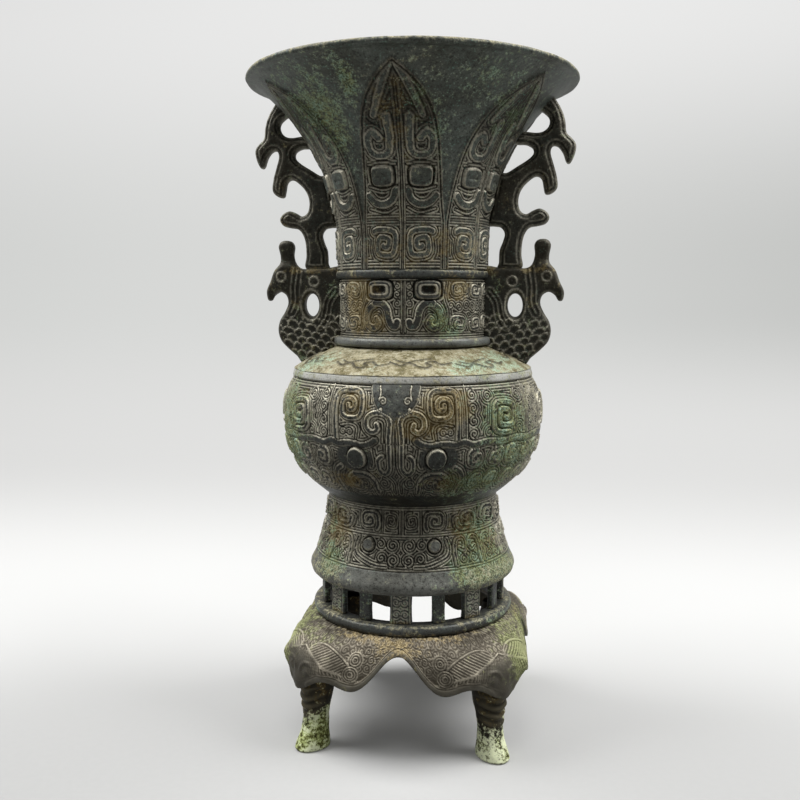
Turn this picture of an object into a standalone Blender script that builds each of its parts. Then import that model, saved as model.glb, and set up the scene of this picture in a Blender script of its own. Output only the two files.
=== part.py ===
"""Bronze vase: a trumpet-mouthed body with two bird handles, on a four-legged stand."""

import math

import bmesh
import bpy
from mathutils import Matrix

MM = 0.001

# Joints between castings
CLEARANCE = 0.3
WALL = 3.0

# Heights of the stacked castings, from the floor up
MASK_HEIGHT_ABOVE_FLOOR = 36.0
SKIRT_HEIGHT = 30.0
STAND_RING_HEIGHT = 6.0
POST_HEIGHT = 16.5
FOOT_HEIGHT = 45.5
BELLY_HEIGHT = 66.0
BAND_HEIGHT = 4.0
SHOULDER_HEIGHT = 12.5
COLLAR_HEIGHT = 5.0
DRUM_HEIGHT = 31.5
NECK_RING_HEIGHT = 4.4
TRUMPET_HEIGHT = 102.6

# Radii of the body
MOUTH_RADIUS = 90.0
NECK_RADIUS = 41.0
NECK_RING_PROUD = 1.6
COLLAR_PROUD = 3.0
BAND_RADIUS = 67.2
BELLY_RADIUS = 72.6
BELLY_WAIST_RADIUS = 48.5
BELLY_WIDEST_HEIGHT = 46.0
FOOT_LIP_RADIUS = 57.8
FOOT_LIP_HEIGHT = 5.5
FOOT_FLANGE_RADIUS = 47.5
FOOT_FLANGE_THICKNESS = 3.0
LIP_THICKNESS = 3.6
TRUMPET_POWER = 2.85
BELLY_POWER = 2.65
FOOT_POWER = 1.95

# Gallery of posts between the foot and the stand
POST_COUNT = 16
POST_RADIUS = 50.5
POST_THICKNESS = 3.5
POST_WIDE = 12.0
POST_NARROW = 7.0

# Stand ring and skirt
STAND_RING_INNER_RADIUS = 48.0
STAND_RING_RADIUS = 56.8
SKIRT_SEAT_RADIUS = 50.0
SKIRT_TOP_RADIUS = 56.0
ARCH_RADIUS = 61.5
ARCH_CONTROL_RADIUS = 59.5
CORNER_RADIUS = 76.0
CORNER_CONTROL_RADIUS = 80.0
CONTROL_DROP = 4.5
ARCH_RISE = 22.0
LOBE_RISE = 4.0
NOTCH_RISE = 7.5
LOBE_ANGLE = 20.0
NOTCH_ANGLE = 31.0

# Raised beads of the masks: radius of the bead and depth of its middle under the wall's face
MASK_COUNT = 2
BELLY_BEAD_RADIUS = 1.3
FOOT_BEAD_RADIUS = 1.0
BEAD_SINK = 0.3
BELLY_EYE_RADIUS = 5.6
FOOT_EYE_RADIUS = 3.3
EYE_RISE = 1.7

# Legs
LEG_COUNT = 4
LEG_CIRCLE_RADIUS = 68.0
LEG_LEAN = 0.07
LEG_STRETCH = 1.12
LEG_TENON = 19.0
FOOT_RADIUS = 9.4
ANKLE_RADIUS = 6.9
ANKLE_HEIGHT = 17.0
KNEE_RADIUS = 8.4

# Handles
BIRD_THICKNESS = 11.0
BIRD_HEIGHT = 37.7
BRANCH_THICKNESS = 9.0
EYE_HOLE_OUT = 16.2
EYE_HOLE_UP = 17.0
EYE_HOLE_HALF_WIDTH = 4.1
EYE_HOLE_HALF_HEIGHT = 6.4

# Fineness of the round surfaces
LATHE_STEPS = 48
LEG_STEPS = 14
SKIRT_STEPS = 96
SKIRT_ROWS = 5
CURVE_STEPS = 2
EYE_STEPS = 8

# Levels of the joints, from the floor up
Z_SKIRT_TOP = MASK_HEIGHT_ABOVE_FLOOR + SKIRT_HEIGHT
Z_RING_TOP = Z_SKIRT_TOP + STAND_RING_HEIGHT
Z_POST_TOP = Z_RING_TOP + POST_HEIGHT
Z_FOOT_TOP = Z_POST_TOP + FOOT_HEIGHT
Z_BELLY_TOP = Z_FOOT_TOP + BELLY_HEIGHT
Z_BAND_TOP = Z_BELLY_TOP + BAND_HEIGHT
Z_SHOULDER_TOP = Z_BAND_TOP + SHOULDER_HEIGHT
Z_COLLAR_TOP = Z_SHOULDER_TOP + COLLAR_HEIGHT
Z_DRUM_TOP = Z_COLLAR_TOP + DRUM_HEIGHT
Z_NECK_RING_TOP = Z_DRUM_TOP + NECK_RING_HEIGHT
Z_RIM = Z_NECK_RING_TOP + TRUMPET_HEIGHT
Z_WIDEST = Z_FOOT_TOP + BELLY_WIDEST_HEIGHT
HALF_GAP = CLEARANCE / 2.0

# Bird outline: distance out from the neck wall, height above the collar, kind of point
BIRD_OUTLINE = [
    (-2.0, BIRD_HEIGHT, "VECTOR"), (20.5, BIRD_HEIGHT, "VECTOR"), (23.0, 37.4), (25.2, 39.4),
    (26.6, 44.5), (26.3, 50.0), (28.5, 52.8), (33.0, 52.9), (35.3, 50.0), (34.5, 44.5),
    (34.6, 40.3), (38.0, 36.0), (40.3, 30.0), (42.8, 24.5), (42.2, 20.0), (39.8, 19.5),
    (37.8, 22.5), (34.5, 24.3), (31.0, 22.3), (30.0, 18.0), (32.0, 13.0), (35.0, 8.0),
    (36.0, 2.5), (34.5, -3.0), (30.5, -7.5), (25.3, -12.0), (23.0, -17.0, "VECTOR"),
    (-2.0, -10.0, "VECTOR"),
]

# Branch outline: distance out from the trumpet wall, share of the way up from the bird to the rim
BRANCH_OUTLINE = [
    (19.3, 0.0, "VECTOR"), (19.3, 0.065), (19.4, 0.124), (20.4, 0.174), (22.8, 0.21), (27.7, 0.22),
    (31.4, 0.232), (32.9, 0.262), (31.1, 0.294), (27.0, 0.313), (23.2, 0.301), (19.9, 0.284),
    (16.4, 0.303), (14.4, 0.353), (14.4, 0.408), (16.5, 0.453), (20.0, 0.483), (23.7, 0.469),
    (26.2, 0.423), (28.2, 0.389), (31.3, 0.391), (33.6, 0.423), (31.3, 0.483), (26.3, 0.552),
    (22.0, 0.607), (21.1, 0.64), (24.3, 0.637), (29.0, 0.602), (33.0, 0.557), (35.4, 0.55),
    (35.5, 0.597), (33.2, 0.647), (28.6, 0.682), (23.6, 0.711), (18.0, 0.771), (10.6, 0.831),
    (1.6, 0.886), (-7.7, 0.935, "VECTOR"), (-9.8, 0.876, "VECTOR"), (-4.7, 0.836), (1.9, 0.819),
    (8.2, 0.786), (11.3, 0.746), (10.4, 0.719), (6.8, 0.713), (1.4, 0.719),
    (-3.8, 0.721, "VECTOR"), (-2.2, 0.657, "VECTOR"), (2.0, 0.653), (6.1, 0.651), (10.9, 0.632),
    (13.0, 0.602), (11.6, 0.572), (7.3, 0.535), (3.6, 0.505), (-1.9, 0.493, "VECTOR"),
    (-0.9, 0.308, "VECTOR"), (-1.8, 0.219, "VECTOR"), (3.7, 0.219), (7.3, 0.212), (9.5, 0.179),
    (8.8, 0.134), (7.2, 0.09), (7.0, 0.0, "VECTOR"),
]

# Beads of half a belly mask: degrees from its middle, share of the belly's height
BELLY_BEADS = {
    "horn": [(26.0, 0.60), (26.4, 0.70), (26.2, 0.83), (24.8, 0.91), (21.3, 0.93), (17.7, 0.92),
             (15.9, 0.86), (16.5, 0.78), (19.1, 0.75), (21.8, 0.78)],
    "brow": [(3.5, 0.59), (2.9, 0.67), (2.8, 0.73), (4.7, 0.77), (7.9, 0.78), (10.4, 0.74),
             (10.4, 0.68), (8.0, 0.67)],
    "tongue": [(1.9, 0.52), (1.7, 0.39), (2.5, 0.32), (4.4, 0.30), (6.3, 0.33), (6.8, 0.41),
               (6.6, 0.52)],
    "cheek": [(9.9, 0.17), (11.0, 0.27), (15.4, 0.315), (22.1, 0.315), (26.8, 0.27), (28.9, 0.17)],
    "side hook": [(38.0, 0.62), (37.6, 0.74), (40.0, 0.85), (46.0, 0.88), (52.0, 0.85), (54.0, 0.74),
                  (51.0, 0.66), (46.5, 0.67), (44.6, 0.74), (47.5, 0.78)],
    "far hook": [(84.0, 0.62), (84.4, 0.74), (82.0, 0.85), (76.0, 0.88), (70.0, 0.85), (68.0, 0.74),
                 (71.0, 0.66), (75.5, 0.67), (77.4, 0.74), (74.5, 0.78)],
    "near key": [(31.5, 0.49), (31.3, 0.37), (34.0, 0.36), (36.8, 0.37), (36.6, 0.49), (34.0, 0.50)],
    "middle key": [(51.0, 0.49), (50.8, 0.37), (53.5, 0.36), (56.3, 0.37), (56.1, 0.49), (53.5, 0.50)],
    "far key": [(70.5, 0.49), (70.3, 0.37), (73.0, 0.36), (75.8, 0.37), (75.6, 0.49), (73.0, 0.50)],
}
BELLY_EYE = (16.4, 0.443)

# Beads of half a foot mask: degrees from its middle, share of the foot's height
FOOT_BEADS = {
    "key": [(15.6, 0.73), (14.4, 0.92), (20.5, 0.94), (26.4, 0.92), (26.2, 0.73), (20.8, 0.715)],
    "side key": [(36.0, 0.73), (35.4, 0.92), (43.0, 0.94), (50.8, 0.92), (50.4, 0.73), (43.4, 0.715)],
    "middle key": [(57.2, 0.73), (56.6, 0.92), (63.0, 0.94), (70.4, 0.92), (70.2, 0.73), (63.4, 0.715)],
    "far key": [(75.6, 0.73), (75.0, 0.92), (81.0, 0.94), (86.8, 0.92), (86.6, 0.73), (81.2, 0.715)],
    "curl": [(8.0, 0.59), (7.6, 0.49), (10.7, 0.46), (13.0, 0.52), (11.0, 0.58)],
    "side curl": [(31.0, 0.59), (30.6, 0.49), (33.7, 0.46), (36.0, 0.52), (34.0, 0.58)],
}
FOOT_EYE = (20.2, 0.538)

# Colours by finish: base colour, roughness, metallic
FINISHES = {
    "dark bronze": ((0.075, 0.072, 0.060, 1.0), 0.50, 0.80),
    "plain band bronze": ((0.085, 0.092, 0.090, 1.0), 0.40, 0.85),
    "pale shoulder crust": ((0.300, 0.270, 0.170, 1.0), 0.70, 0.30),
    "brown stand bronze": ((0.130, 0.110, 0.080, 1.0), 0.55, 0.60),
    "green leg patina": ((0.210, 0.240, 0.130, 1.0), 0.75, 0.25),
    "black handle bronze": ((0.035, 0.035, 0.033, 1.0), 0.45, 0.80),
}


def clear_scene():
    """Remove the scene's objects."""
    for obj in list(bpy.data.objects):
        bpy.data.objects.remove(obj, do_unlink=True)


def new_collection(name):
    """Make a collection linked to the scene."""
    collection = bpy.data.collections.new(name)
    bpy.context.scene.collection.children.link(collection)
    return collection


def make_material(name, finish):
    """Make the Principled material of one sub-part."""
    colour, roughness, metallic = FINISHES[finish]
    material = bpy.data.materials.new(name)
    material.use_nodes = True
    shader = material.node_tree.nodes["Principled BSDF"]
    shader.inputs["Base Color"].default_value = colour
    shader.inputs["Roughness"].default_value = roughness
    shader.inputs["Metallic"].default_value = metallic
    return material


def add_object(name, mesh, finish, collection):
    """Link a mesh as one named sub-part with its own material."""
    obj = bpy.data.objects.new(name, mesh)
    mesh.materials.append(make_material(name, finish))
    collection.objects.link(obj)
    return obj


def add_cutter(name, mesh, collection):
    """Link a mesh as a hidden cutter, or as a hidden form that is joined on."""
    obj = bpy.data.objects.new(name, mesh)
    obj.hide_render = True
    obj.display_type = "WIRE"
    collection.objects.link(obj)
    return obj


def combine(obj, tool, operation):
    """Cut an object with a hidden tool, or join the tool to it."""
    boolean = obj.modifiers.new("fit", "BOOLEAN")
    boolean.operation = operation
    boolean.solver = "EXACT"
    boolean.object = tool


def profile_mesh(name, points, closed):
    """Make a mesh of one profile line in the XZ plane, from (radius, height) in millimetres."""
    mesh = bpy.data.meshes.new(name)
    corners = [(r * MM, 0.0, z * MM) for r, z in points]
    edges = [(i, i + 1) for i in range(len(points) - 1)]
    if closed:
        edges.append((len(points) - 1, 0))
    mesh.from_pydata(corners, edges, [])
    return mesh


def spin(obj, steps):
    """Turn an object's profile a full round about Z."""
    screw = obj.modifiers.new("turn", "SCREW")
    screw.axis = "Z"
    screw.angle = math.tau
    screw.steps = steps
    screw.render_steps = steps
    screw.use_merge_vertices = True
    screw.merge_threshold = 0.00001
    screw.use_smooth_shade = False


def lathe(name, points, finish, collection, closed=True):
    """Make a turned sub-part from a profile that runs down its outer side."""
    obj = add_object(name, profile_mesh(name, points, closed), finish, collection)
    spin(obj, LATHE_STEPS)
    return obj


def spread(low, high, count):
    """Give evenly spread values from low to high."""
    return [low + (high - low) * i / (count - 1) for i in range(count)]


def trumpet_radius(z):
    """Give the outer radius of the trumpet at a height."""
    t = max(0.0, (z - Z_NECK_RING_TOP) / TRUMPET_HEIGHT)
    return NECK_RADIUS + (MOUTH_RADIUS - NECK_RADIUS) * t ** TRUMPET_POWER


def shoulder_height(r):
    """Give the height of the shoulder's outer face at a radius."""
    t = (BAND_RADIUS - r) / (BAND_RADIUS - NECK_RADIUS)
    return Z_BAND_TOP + SHOULDER_HEIGHT * t ** 0.85


def belly_radius(z):
    """Give the outer radius of the belly at a height."""
    if z > Z_WIDEST:
        t = (z - Z_WIDEST) / (Z_BELLY_TOP - Z_WIDEST)
        return BELLY_RADIUS - (BELLY_RADIUS - BAND_RADIUS) * t ** 2.4
    t = (Z_WIDEST - z) / BELLY_WIDEST_HEIGHT
    return BELLY_WAIST_RADIUS + (BELLY_RADIUS - BELLY_WAIST_RADIUS) * (1.0 - t ** BELLY_POWER)


def foot_radius(z):
    """Give the outer radius of the foot drum at a height above its lip."""
    span = FOOT_HEIGHT - FOOT_LIP_HEIGHT
    t = (Z_FOOT_TOP - z) / span
    return BELLY_WAIST_RADIUS + (FOOT_LIP_RADIUS - BELLY_WAIST_RADIUS) * t ** FOOT_POWER


def make_trumpet(collection):
    """Make the flared mouth with its thick lip."""
    low = Z_NECK_RING_TOP + HALF_GAP
    lip_low = Z_RIM - LIP_THICKNESS
    outer = [(MOUTH_RADIUS - 0.8, Z_RIM), (MOUTH_RADIUS, Z_RIM - 0.8)]
    outer += [(trumpet_radius(z), z) for z in reversed(spread(low, lip_low, 13))]
    inner = [(trumpet_radius(z) - WALL, z) for z in spread(low, lip_low, 7)]
    lathe("trumpet_mouth", outer + inner, "dark bronze", collection)


def make_ring(name, low, high, radius, collection):
    """Make a plain rounded ring around the neck passage."""
    bottom = low + HALF_GAP
    top = high - HALF_GAP
    middle = (low + high) / 2.0
    edge = radius - (top - bottom) * 0.2
    inner = NECK_RADIUS - WALL
    points = [(inner, top), (edge, top), (radius, middle + 0.8), (radius, middle - 0.8)]
    points += [(edge, bottom), (inner, bottom)]
    lathe(name, points, "plain band bronze", collection)


def make_neck_drum(collection):
    """Make the plain-walled drum between the two neck rings."""
    low = Z_COLLAR_TOP + HALF_GAP
    high = Z_DRUM_TOP - HALF_GAP
    inner = NECK_RADIUS - WALL
    points = [(inner, high), (NECK_RADIUS, high), (NECK_RADIUS, low), (inner, low)]
    lathe("neck_drum", points, "dark bronze", collection)


def make_shoulder(collection):
    """Make the sloping shoulder between the belly band and the collar."""
    top = Z_SHOULDER_TOP - HALF_GAP
    low = Z_BAND_TOP + HALF_GAP
    inner_top = NECK_RADIUS - WALL
    inner_low = BAND_RADIUS - 2.0 * WALL
    outer = [(r, min(top, shoulder_height(r))) for r in spread(NECK_RADIUS, BAND_RADIUS - 0.8, 7)]
    inner = [(r, max(low, shoulder_height(r) - WALL)) for r in spread(inner_low, inner_top + 2.0, 5)]
    points = outer + [(BAND_RADIUS - 0.8, low)] + inner + [(inner_top, top)]
    lathe("shoulder", points, "pale shoulder crust", collection)


def make_belly_band(collection):
    """Make the plain band round the top of the belly."""
    low = Z_BELLY_TOP + HALF_GAP
    high = Z_BAND_TOP - HALF_GAP
    inner = BAND_RADIUS - 2.0 * WALL
    points = [(inner, high), (BAND_RADIUS - 0.6, high), (BAND_RADIUS, high - 0.8)]
    points += [(BAND_RADIUS, low), (inner, low)]
    lathe("belly_band", points, "plain band bronze", collection)


def curve_mesh(name, curve):
    """Turn a curve with thickness into a mesh with its caps welded on."""
    maker = bpy.data.objects.new(name, curve)
    bpy.context.scene.collection.objects.link(maker)
    bpy.context.view_layer.update()
    mesh = bpy.data.meshes.new_from_object(maker.evaluated_get(bpy.context.evaluated_depsgraph_get()))
    bpy.data.objects.remove(maker, do_unlink=True)
    bpy.data.curves.remove(curve)
    shape = bmesh.new()
    shape.from_mesh(mesh)
    bmesh.ops.remove_doubles(shape, verts=shape.verts, dist=0.00001)
    bmesh.ops.recalc_face_normals(shape, faces=shape.faces)
    shape.to_mesh(mesh)
    shape.free()
    return mesh


def wall_point(radius, degrees, z):
    """Give the point of a turned wall at an angle from the front and a height."""
    turn = math.radians(degrees)
    return (radius * math.sin(turn) * MM, -radius * math.cos(turn) * MM, z * MM)


def mask_places():
    """Give the angle of each mask's middle and the sense of each of its halves."""
    return [(360.0 * i / MASK_COUNT, sense) for i in range(MASK_COUNT) for sense in (1.0, -1.0)]


def bead_mesh(name, beads, wall, low, height, bead_radius):
    """Make the raised beads of every mask, laid along a turned wall."""
    curve = bpy.data.curves.new(name, "CURVE")
    curve.dimensions = "3D"
    curve.bevel_depth = bead_radius * MM
    curve.bevel_resolution = 1
    curve.resolution_u = CURVE_STEPS
    curve.use_fill_caps = True
    for middle, sense in mask_places():
        for places in beads.values():
            spline = curve.splines.new("BEZIER")
            spline.bezier_points.add(len(places) - 1)
            for point, (degrees, share) in zip(spline.bezier_points, places):
                z = low + share * height
                point.co = wall_point(wall(z) - BEAD_SINK, middle + sense * degrees, z)
                point.handle_left_type = "AUTO"
                point.handle_right_type = "AUTO"
    return curve_mesh(name, curve)


def add_eyes(mesh, eye, wall, low, height, eye_radius):
    """Add the round eyes of every mask to a mesh of beads: flattened balls half sunk in the wall."""
    shape = bmesh.new()
    shape.from_mesh(mesh)
    z = low + eye[1] * height
    for middle, sense in mask_places():
        degrees = middle + sense * eye[0]
        ball = bmesh.ops.create_uvsphere(shape, u_segments=EYE_STEPS, v_segments=EYE_STEPS // 2 + 1,
                                         radius=eye_radius * MM)["verts"]
        bmesh.ops.scale(shape, vec=(1.0, EYE_RISE / eye_radius, 1.0), verts=ball)
        turn = Matrix.Rotation(math.radians(degrees), 3, "Z")
        bmesh.ops.rotate(shape, cent=(0.0, 0.0, 0.0), matrix=turn, verts=ball)
        bmesh.ops.translate(shape, vec=wall_point(wall(z), degrees, z), verts=ball)
    shape.to_mesh(mesh)
    shape.free()


def make_belly(collection, cutters):
    """Make the belly as a bowl that closes at the waist, with its raised masks."""
    low = Z_FOOT_TOP + HALF_GAP
    high = Z_BELLY_TOP - HALF_GAP
    floor = low + WALL
    inner = [(belly_radius(z) - WALL, z) for z in spread(floor + WALL, high, 6)]
    outer = [(belly_radius(z), z) for z in reversed(spread(low, high, 15))]
    points = [(0.0, floor), (BELLY_WAIST_RADIUS - WALL, floor)] + inner + outer + [(0.0, low)]
    belly = lathe("belly_bowl", points, "dark bronze", collection, closed=False)
    beads = bead_mesh("belly_beads", BELLY_BEADS, belly_radius, Z_FOOT_TOP, BELLY_HEIGHT, BELLY_BEAD_RADIUS)
    add_eyes(beads, BELLY_EYE, belly_radius, Z_FOOT_TOP, BELLY_HEIGHT, BELLY_EYE_RADIUS)
    combine(belly, add_cutter("belly_beads", beads, cutters), "UNION")


def make_foot(collection, cutters):
    """Make the flared foot drum with its lip, the flange that the posts meet and its raised masks."""
    high = Z_FOOT_TOP - HALF_GAP
    low = Z_POST_TOP + HALF_GAP
    lip = Z_POST_TOP + FOOT_LIP_HEIGHT
    flange = low + FOOT_FLANGE_THICKNESS
    outer = [(foot_radius(z), z) for z in reversed(spread(lip, high, 9))]
    under = [(FOOT_LIP_RADIUS - 0.8, low + 1.0), (FOOT_LIP_RADIUS - 2.0, low)]
    under += [(FOOT_FLANGE_RADIUS, low), (FOOT_FLANGE_RADIUS, flange)]
    inner = [(foot_radius(z) - WALL, z) for z in spread(lip + 1.0, high, 4)]
    foot = lathe("foot_drum", outer + under + inner, "dark bronze", collection)
    beads = bead_mesh("foot_beads", FOOT_BEADS, foot_radius, Z_POST_TOP, FOOT_HEIGHT, FOOT_BEAD_RADIUS)
    add_eyes(beads, FOOT_EYE, foot_radius, Z_POST_TOP, FOOT_HEIGHT, FOOT_EYE_RADIUS)
    combine(foot, add_cutter("foot_beads", beads, cutters), "UNION")


def make_posts(collection):
    """Make the gallery posts, wide and narrow in turn."""
    height = POST_HEIGHT - CLEARANCE
    for i in range(POST_COUNT):
        angle = math.tau * i / POST_COUNT
        width = POST_WIDE if i % 2 == 0 else POST_NARROW
        mesh = bpy.data.meshes.new("gallery_post")
        shape = bmesh.new()
        bmesh.ops.create_cube(shape, size=1.0)
        bmesh.ops.scale(shape, vec=(width * MM, POST_THICKNESS * MM, height * MM), verts=shape.verts)
        shape.to_mesh(mesh)
        shape.free()
        post = add_object(f"gallery_post_{i + 1:02d}", mesh, "plain band bronze", collection)
        middle = Z_RING_TOP + POST_HEIGHT / 2.0
        x = POST_RADIUS * math.sin(angle)
        y = -POST_RADIUS * math.cos(angle)
        post.location = (x * MM, y * MM, middle * MM)
        post.rotation_euler = (0.0, 0.0, angle)


def make_stand_ring(collection):
    """Make the round bead that the posts stand on."""
    low = Z_SKIRT_TOP + HALF_GAP
    high = Z_RING_TOP - HALF_GAP
    middle = (low + high) / 2.0
    half = (high - low) / 2.0
    points = [(STAND_RING_INNER_RADIUS, high)]
    for angle in spread(90.0, -90.0, 5):
        turn = math.radians(angle)
        points.append((STAND_RING_RADIUS - half + half * math.cos(turn), middle + half * math.sin(turn)))
    points.append((STAND_RING_INNER_RADIUS, low))
    lathe("stand_ring", points, "plain band bronze", collection)


def ease(low, high, t):
    """Go from low to high with a level start and end."""
    return low + (high - low) * (1.0 - math.cos(math.pi * t)) / 2.0


def skirt_edge_rise(angle):
    """Give the height of the skirt's lower edge above the masks, by degrees from a face's middle."""
    if angle < LOBE_ANGLE:
        return ease(ARCH_RISE, LOBE_RISE, angle / LOBE_ANGLE)
    if angle < NOTCH_ANGLE:
        return ease(LOBE_RISE, NOTCH_RISE, (angle - LOBE_ANGLE) / (NOTCH_ANGLE - LOBE_ANGLE))
    return ease(NOTCH_RISE, 0.0, (angle - NOTCH_ANGLE) / (180.0 / LEG_COUNT - NOTCH_ANGLE))


def skirt_point(angle, t, grow):
    """Give radius and height on the skirt: t is 0 at the seat and 1 at the lower edge."""
    half_face = 180.0 / LEG_COUNT
    from_middle = abs((angle + half_face) % (2.0 * half_face) - half_face)
    swell = math.sin(math.pi / 2.0 * from_middle / half_face) ** 1.3
    top = Z_SKIRT_TOP - HALF_GAP
    bottom = MASK_HEIGHT_ABOVE_FLOOR + skirt_edge_rise(from_middle) - grow
    r_control = ARCH_CONTROL_RADIUS + (CORNER_CONTROL_RADIUS - ARCH_CONTROL_RADIUS) * swell
    r_bottom = ARCH_RADIUS + (CORNER_RADIUS - ARCH_RADIUS) * swell
    weights = ((1.0 - t) ** 2, 2.0 * t * (1.0 - t), t * t)
    r = weights[0] * SKIRT_TOP_RADIUS + weights[1] * r_control + weights[2] * r_bottom
    z = weights[0] * top + weights[1] * (top - CONTROL_DROP) + weights[2] * bottom
    return r + grow, z


def skirt_mesh(name, grow):
    """Make the skirt's outer face as a grid wrapped round the stand, grown by a margin."""
    shape = bmesh.new()
    bmesh.ops.create_grid(shape, x_segments=SKIRT_STEPS, y_segments=SKIRT_ROWS + 1, size=1.0)
    for vert in shape.verts:
        angle = round((vert.co.x + 1.0) / 2.0 * SKIRT_STEPS) * 360.0 / SKIRT_STEPS
        row = round((1.0 - vert.co.y) / 2.0 * (SKIRT_ROWS + 1))
        r, z = skirt_point(angle, max(0.0, (row - 1) / SKIRT_ROWS), grow)
        if row == 0:
            r = SKIRT_SEAT_RADIUS
        turn = math.radians(angle)
        vert.co = (r * math.sin(turn) * MM, -r * math.cos(turn) * MM, z * MM)
    bmesh.ops.remove_doubles(shape, verts=shape.verts, dist=0.00001)
    bmesh.ops.recalc_face_normals(shape, faces=shape.faces)
    mesh = bpy.data.meshes.new(name)
    shape.to_mesh(mesh)
    shape.free()
    return mesh


def thicken(obj, thickness):
    """Thicken a face inwards."""
    solid = obj.modifiers.new("wall", "SOLIDIFY")
    solid.thickness = thickness * MM
    solid.offset = -1.0
    solid.use_even_offset = True


def make_skirt(collection):
    """Make the skirt with an arch in each face and a mask swelling at each corner."""
    skirt = add_object("stand_skirt", skirt_mesh("stand_skirt", 0.0), "brown stand bronze", collection)
    thicken(skirt, WALL)


def leg_radius(z):
    """Give the leg's radius at a height: wide at the foot, narrow at the ankle."""
    if z < ANKLE_HEIGHT:
        return ease(FOOT_RADIUS, ANKLE_RADIUS, z / ANKLE_HEIGHT)
    return ease(ANKLE_RADIUS, KNEE_RADIUS, min(1.0, (z - ANKLE_HEIGHT) / ANKLE_HEIGHT))


def make_legs(collection, cutter):
    """Make the four legs, each rising into the hollow of a corner mask."""
    top = MASK_HEIGHT_ABOVE_FLOOR + LEG_TENON
    points = [(0.0, top), (leg_radius(top), top)]
    points += [(leg_radius(z), z) for z in reversed(spread(1.2, top - 6.0, 9))]
    points += [(FOOT_RADIUS - 0.8, 0.0), (0.0, 0.0)]
    for name, angle in (("front_right", 45.0), ("back_right", 135.0),
                        ("back_left", 225.0), ("front_left", 315.0)):
        leg = add_object("leg_" + name, profile_mesh("leg", points, False), "green leg patina", collection)
        spin(leg, LEG_STEPS)
        mesh = bpy.data.meshes.new_from_object(leg.evaluated_get(bpy.context.evaluated_depsgraph_get()))
        leg.modifiers.clear()
        for vert in mesh.vertices:
            vert.co.y = vert.co.y * LEG_STRETCH + LEG_LEAN * vert.co.z
        leg.data = mesh
        turn = math.radians(angle)
        x = LEG_CIRCLE_RADIUS * math.sin(turn)
        y = -LEG_CIRCLE_RADIUS * math.cos(turn)
        leg.location = (x * MM, y * MM, 0.0)
        leg.rotation_euler = (0.0, 0.0, turn)
        combine(leg, cutter, "DIFFERENCE")


def add_spline(curve, outline):
    """Add one closed outline to a flat curve, in millimetres from the curve's origin."""
    spline = curve.splines.new("BEZIER")
    spline.bezier_points.add(len(outline) - 1)
    spline.use_cyclic_u = True
    for point, place in zip(spline.bezier_points, outline):
        kind = place[2] if len(place) > 2 else "AUTO"
        point.co = (place[0] * MM, place[1] * MM, 0.0)
        point.handle_left_type = kind
        point.handle_right_type = kind


def plate_mesh(name, outlines, thickness):
    """Make a flat plate from closed outlines, the later ones being holes."""
    curve = bpy.data.curves.new(name, "CURVE")
    curve.dimensions = "2D"
    curve.fill_mode = "BOTH"
    curve.extrude = thickness / 2.0 * MM
    curve.resolution_u = CURVE_STEPS
    for outline in outlines:
        add_spline(curve, outline)
    return curve_mesh(name, curve)


def branch_outline():
    """Place the branch's outline along the trumpet wall, from the bird's back up to the rim."""
    low = Z_COLLAR_TOP + BIRD_HEIGHT + CLEARANCE
    placed = []
    for out, share, *kind in BRANCH_OUTLINE:
        z = low + share * (Z_RIM - low)
        placed.append((trumpet_radius(z) + out - NECK_RADIUS, z - Z_COLLAR_TOP, *kind))
    return placed


def make_handles(collection, cutter):
    """Make the two handles: a crested bird below and a hooked branch standing on its back."""
    hole = []
    for i in range(8):
        turn = math.tau * i / 8
        out = EYE_HOLE_OUT + EYE_HOLE_HALF_WIDTH * math.cos(turn)
        hole.append((out, EYE_HOLE_UP + EYE_HOLE_HALF_HEIGHT * math.sin(turn)))
    for side, angle in (("right", 0.0), ("left", 180.0)):
        turn = math.radians(angle)
        place = (NECK_RADIUS * math.cos(turn) * MM, 0.0, Z_COLLAR_TOP * MM)
        for name, outlines, thickness in (("handle_bird", [BIRD_OUTLINE, hole], BIRD_THICKNESS),
                                          ("handle_branch", [branch_outline()], BRANCH_THICKNESS)):
            mesh = plate_mesh(name, outlines, thickness)
            handle = add_object(f"{name}_{side}", mesh, "black handle bronze", collection)
            handle.location = place
            handle.rotation_euler = (math.radians(90.0), 0.0, turn)
            combine(handle, cutter, "DIFFERENCE")


def offset_profile(points, distance):
    """Move a profile outwards, square to its own run."""
    moved = []
    for i, (r, z) in enumerate(points):
        r0, z0 = points[max(0, i - 1)]
        r1, z1 = points[min(len(points) - 1, i + 1)]
        length = math.hypot(r1 - r0, z1 - z0)
        moved.append((r + distance * (z0 - z1) / length, z + distance * (r1 - r0) / length))
    return moved


def make_body_cutter(cutters):
    """Make the body's outer form, grown by the clearance, that the handles are fitted to."""
    outer = [(trumpet_radius(z), z) for z in reversed(spread(Z_NECK_RING_TOP, Z_RIM, 16))]
    proud = NECK_RADIUS + NECK_RING_PROUD
    collar = NECK_RADIUS + COLLAR_PROUD
    outer += [(proud, Z_NECK_RING_TOP), (proud, Z_DRUM_TOP), (NECK_RADIUS, Z_DRUM_TOP - CLEARANCE)]
    outer += [(NECK_RADIUS, Z_COLLAR_TOP + CLEARANCE), (collar, Z_COLLAR_TOP), (collar, Z_SHOULDER_TOP)]
    outer += [(r, shoulder_height(r)) for r in spread(collar, BAND_RADIUS - 0.8, 7)]
    outer += [(BAND_RADIUS, Z_BAND_TOP), (BAND_RADIUS, Z_BELLY_TOP), (BELLY_RADIUS, Z_WIDEST)]
    points = [(0.0, Z_RIM)] + offset_profile(outer, CLEARANCE) + [(0.0, Z_WIDEST)]
    cutter = add_cutter("body_cutter", profile_mesh("body_cutter", points, False), cutters)
    spin(cutter, LATHE_STEPS)
    return cutter


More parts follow.
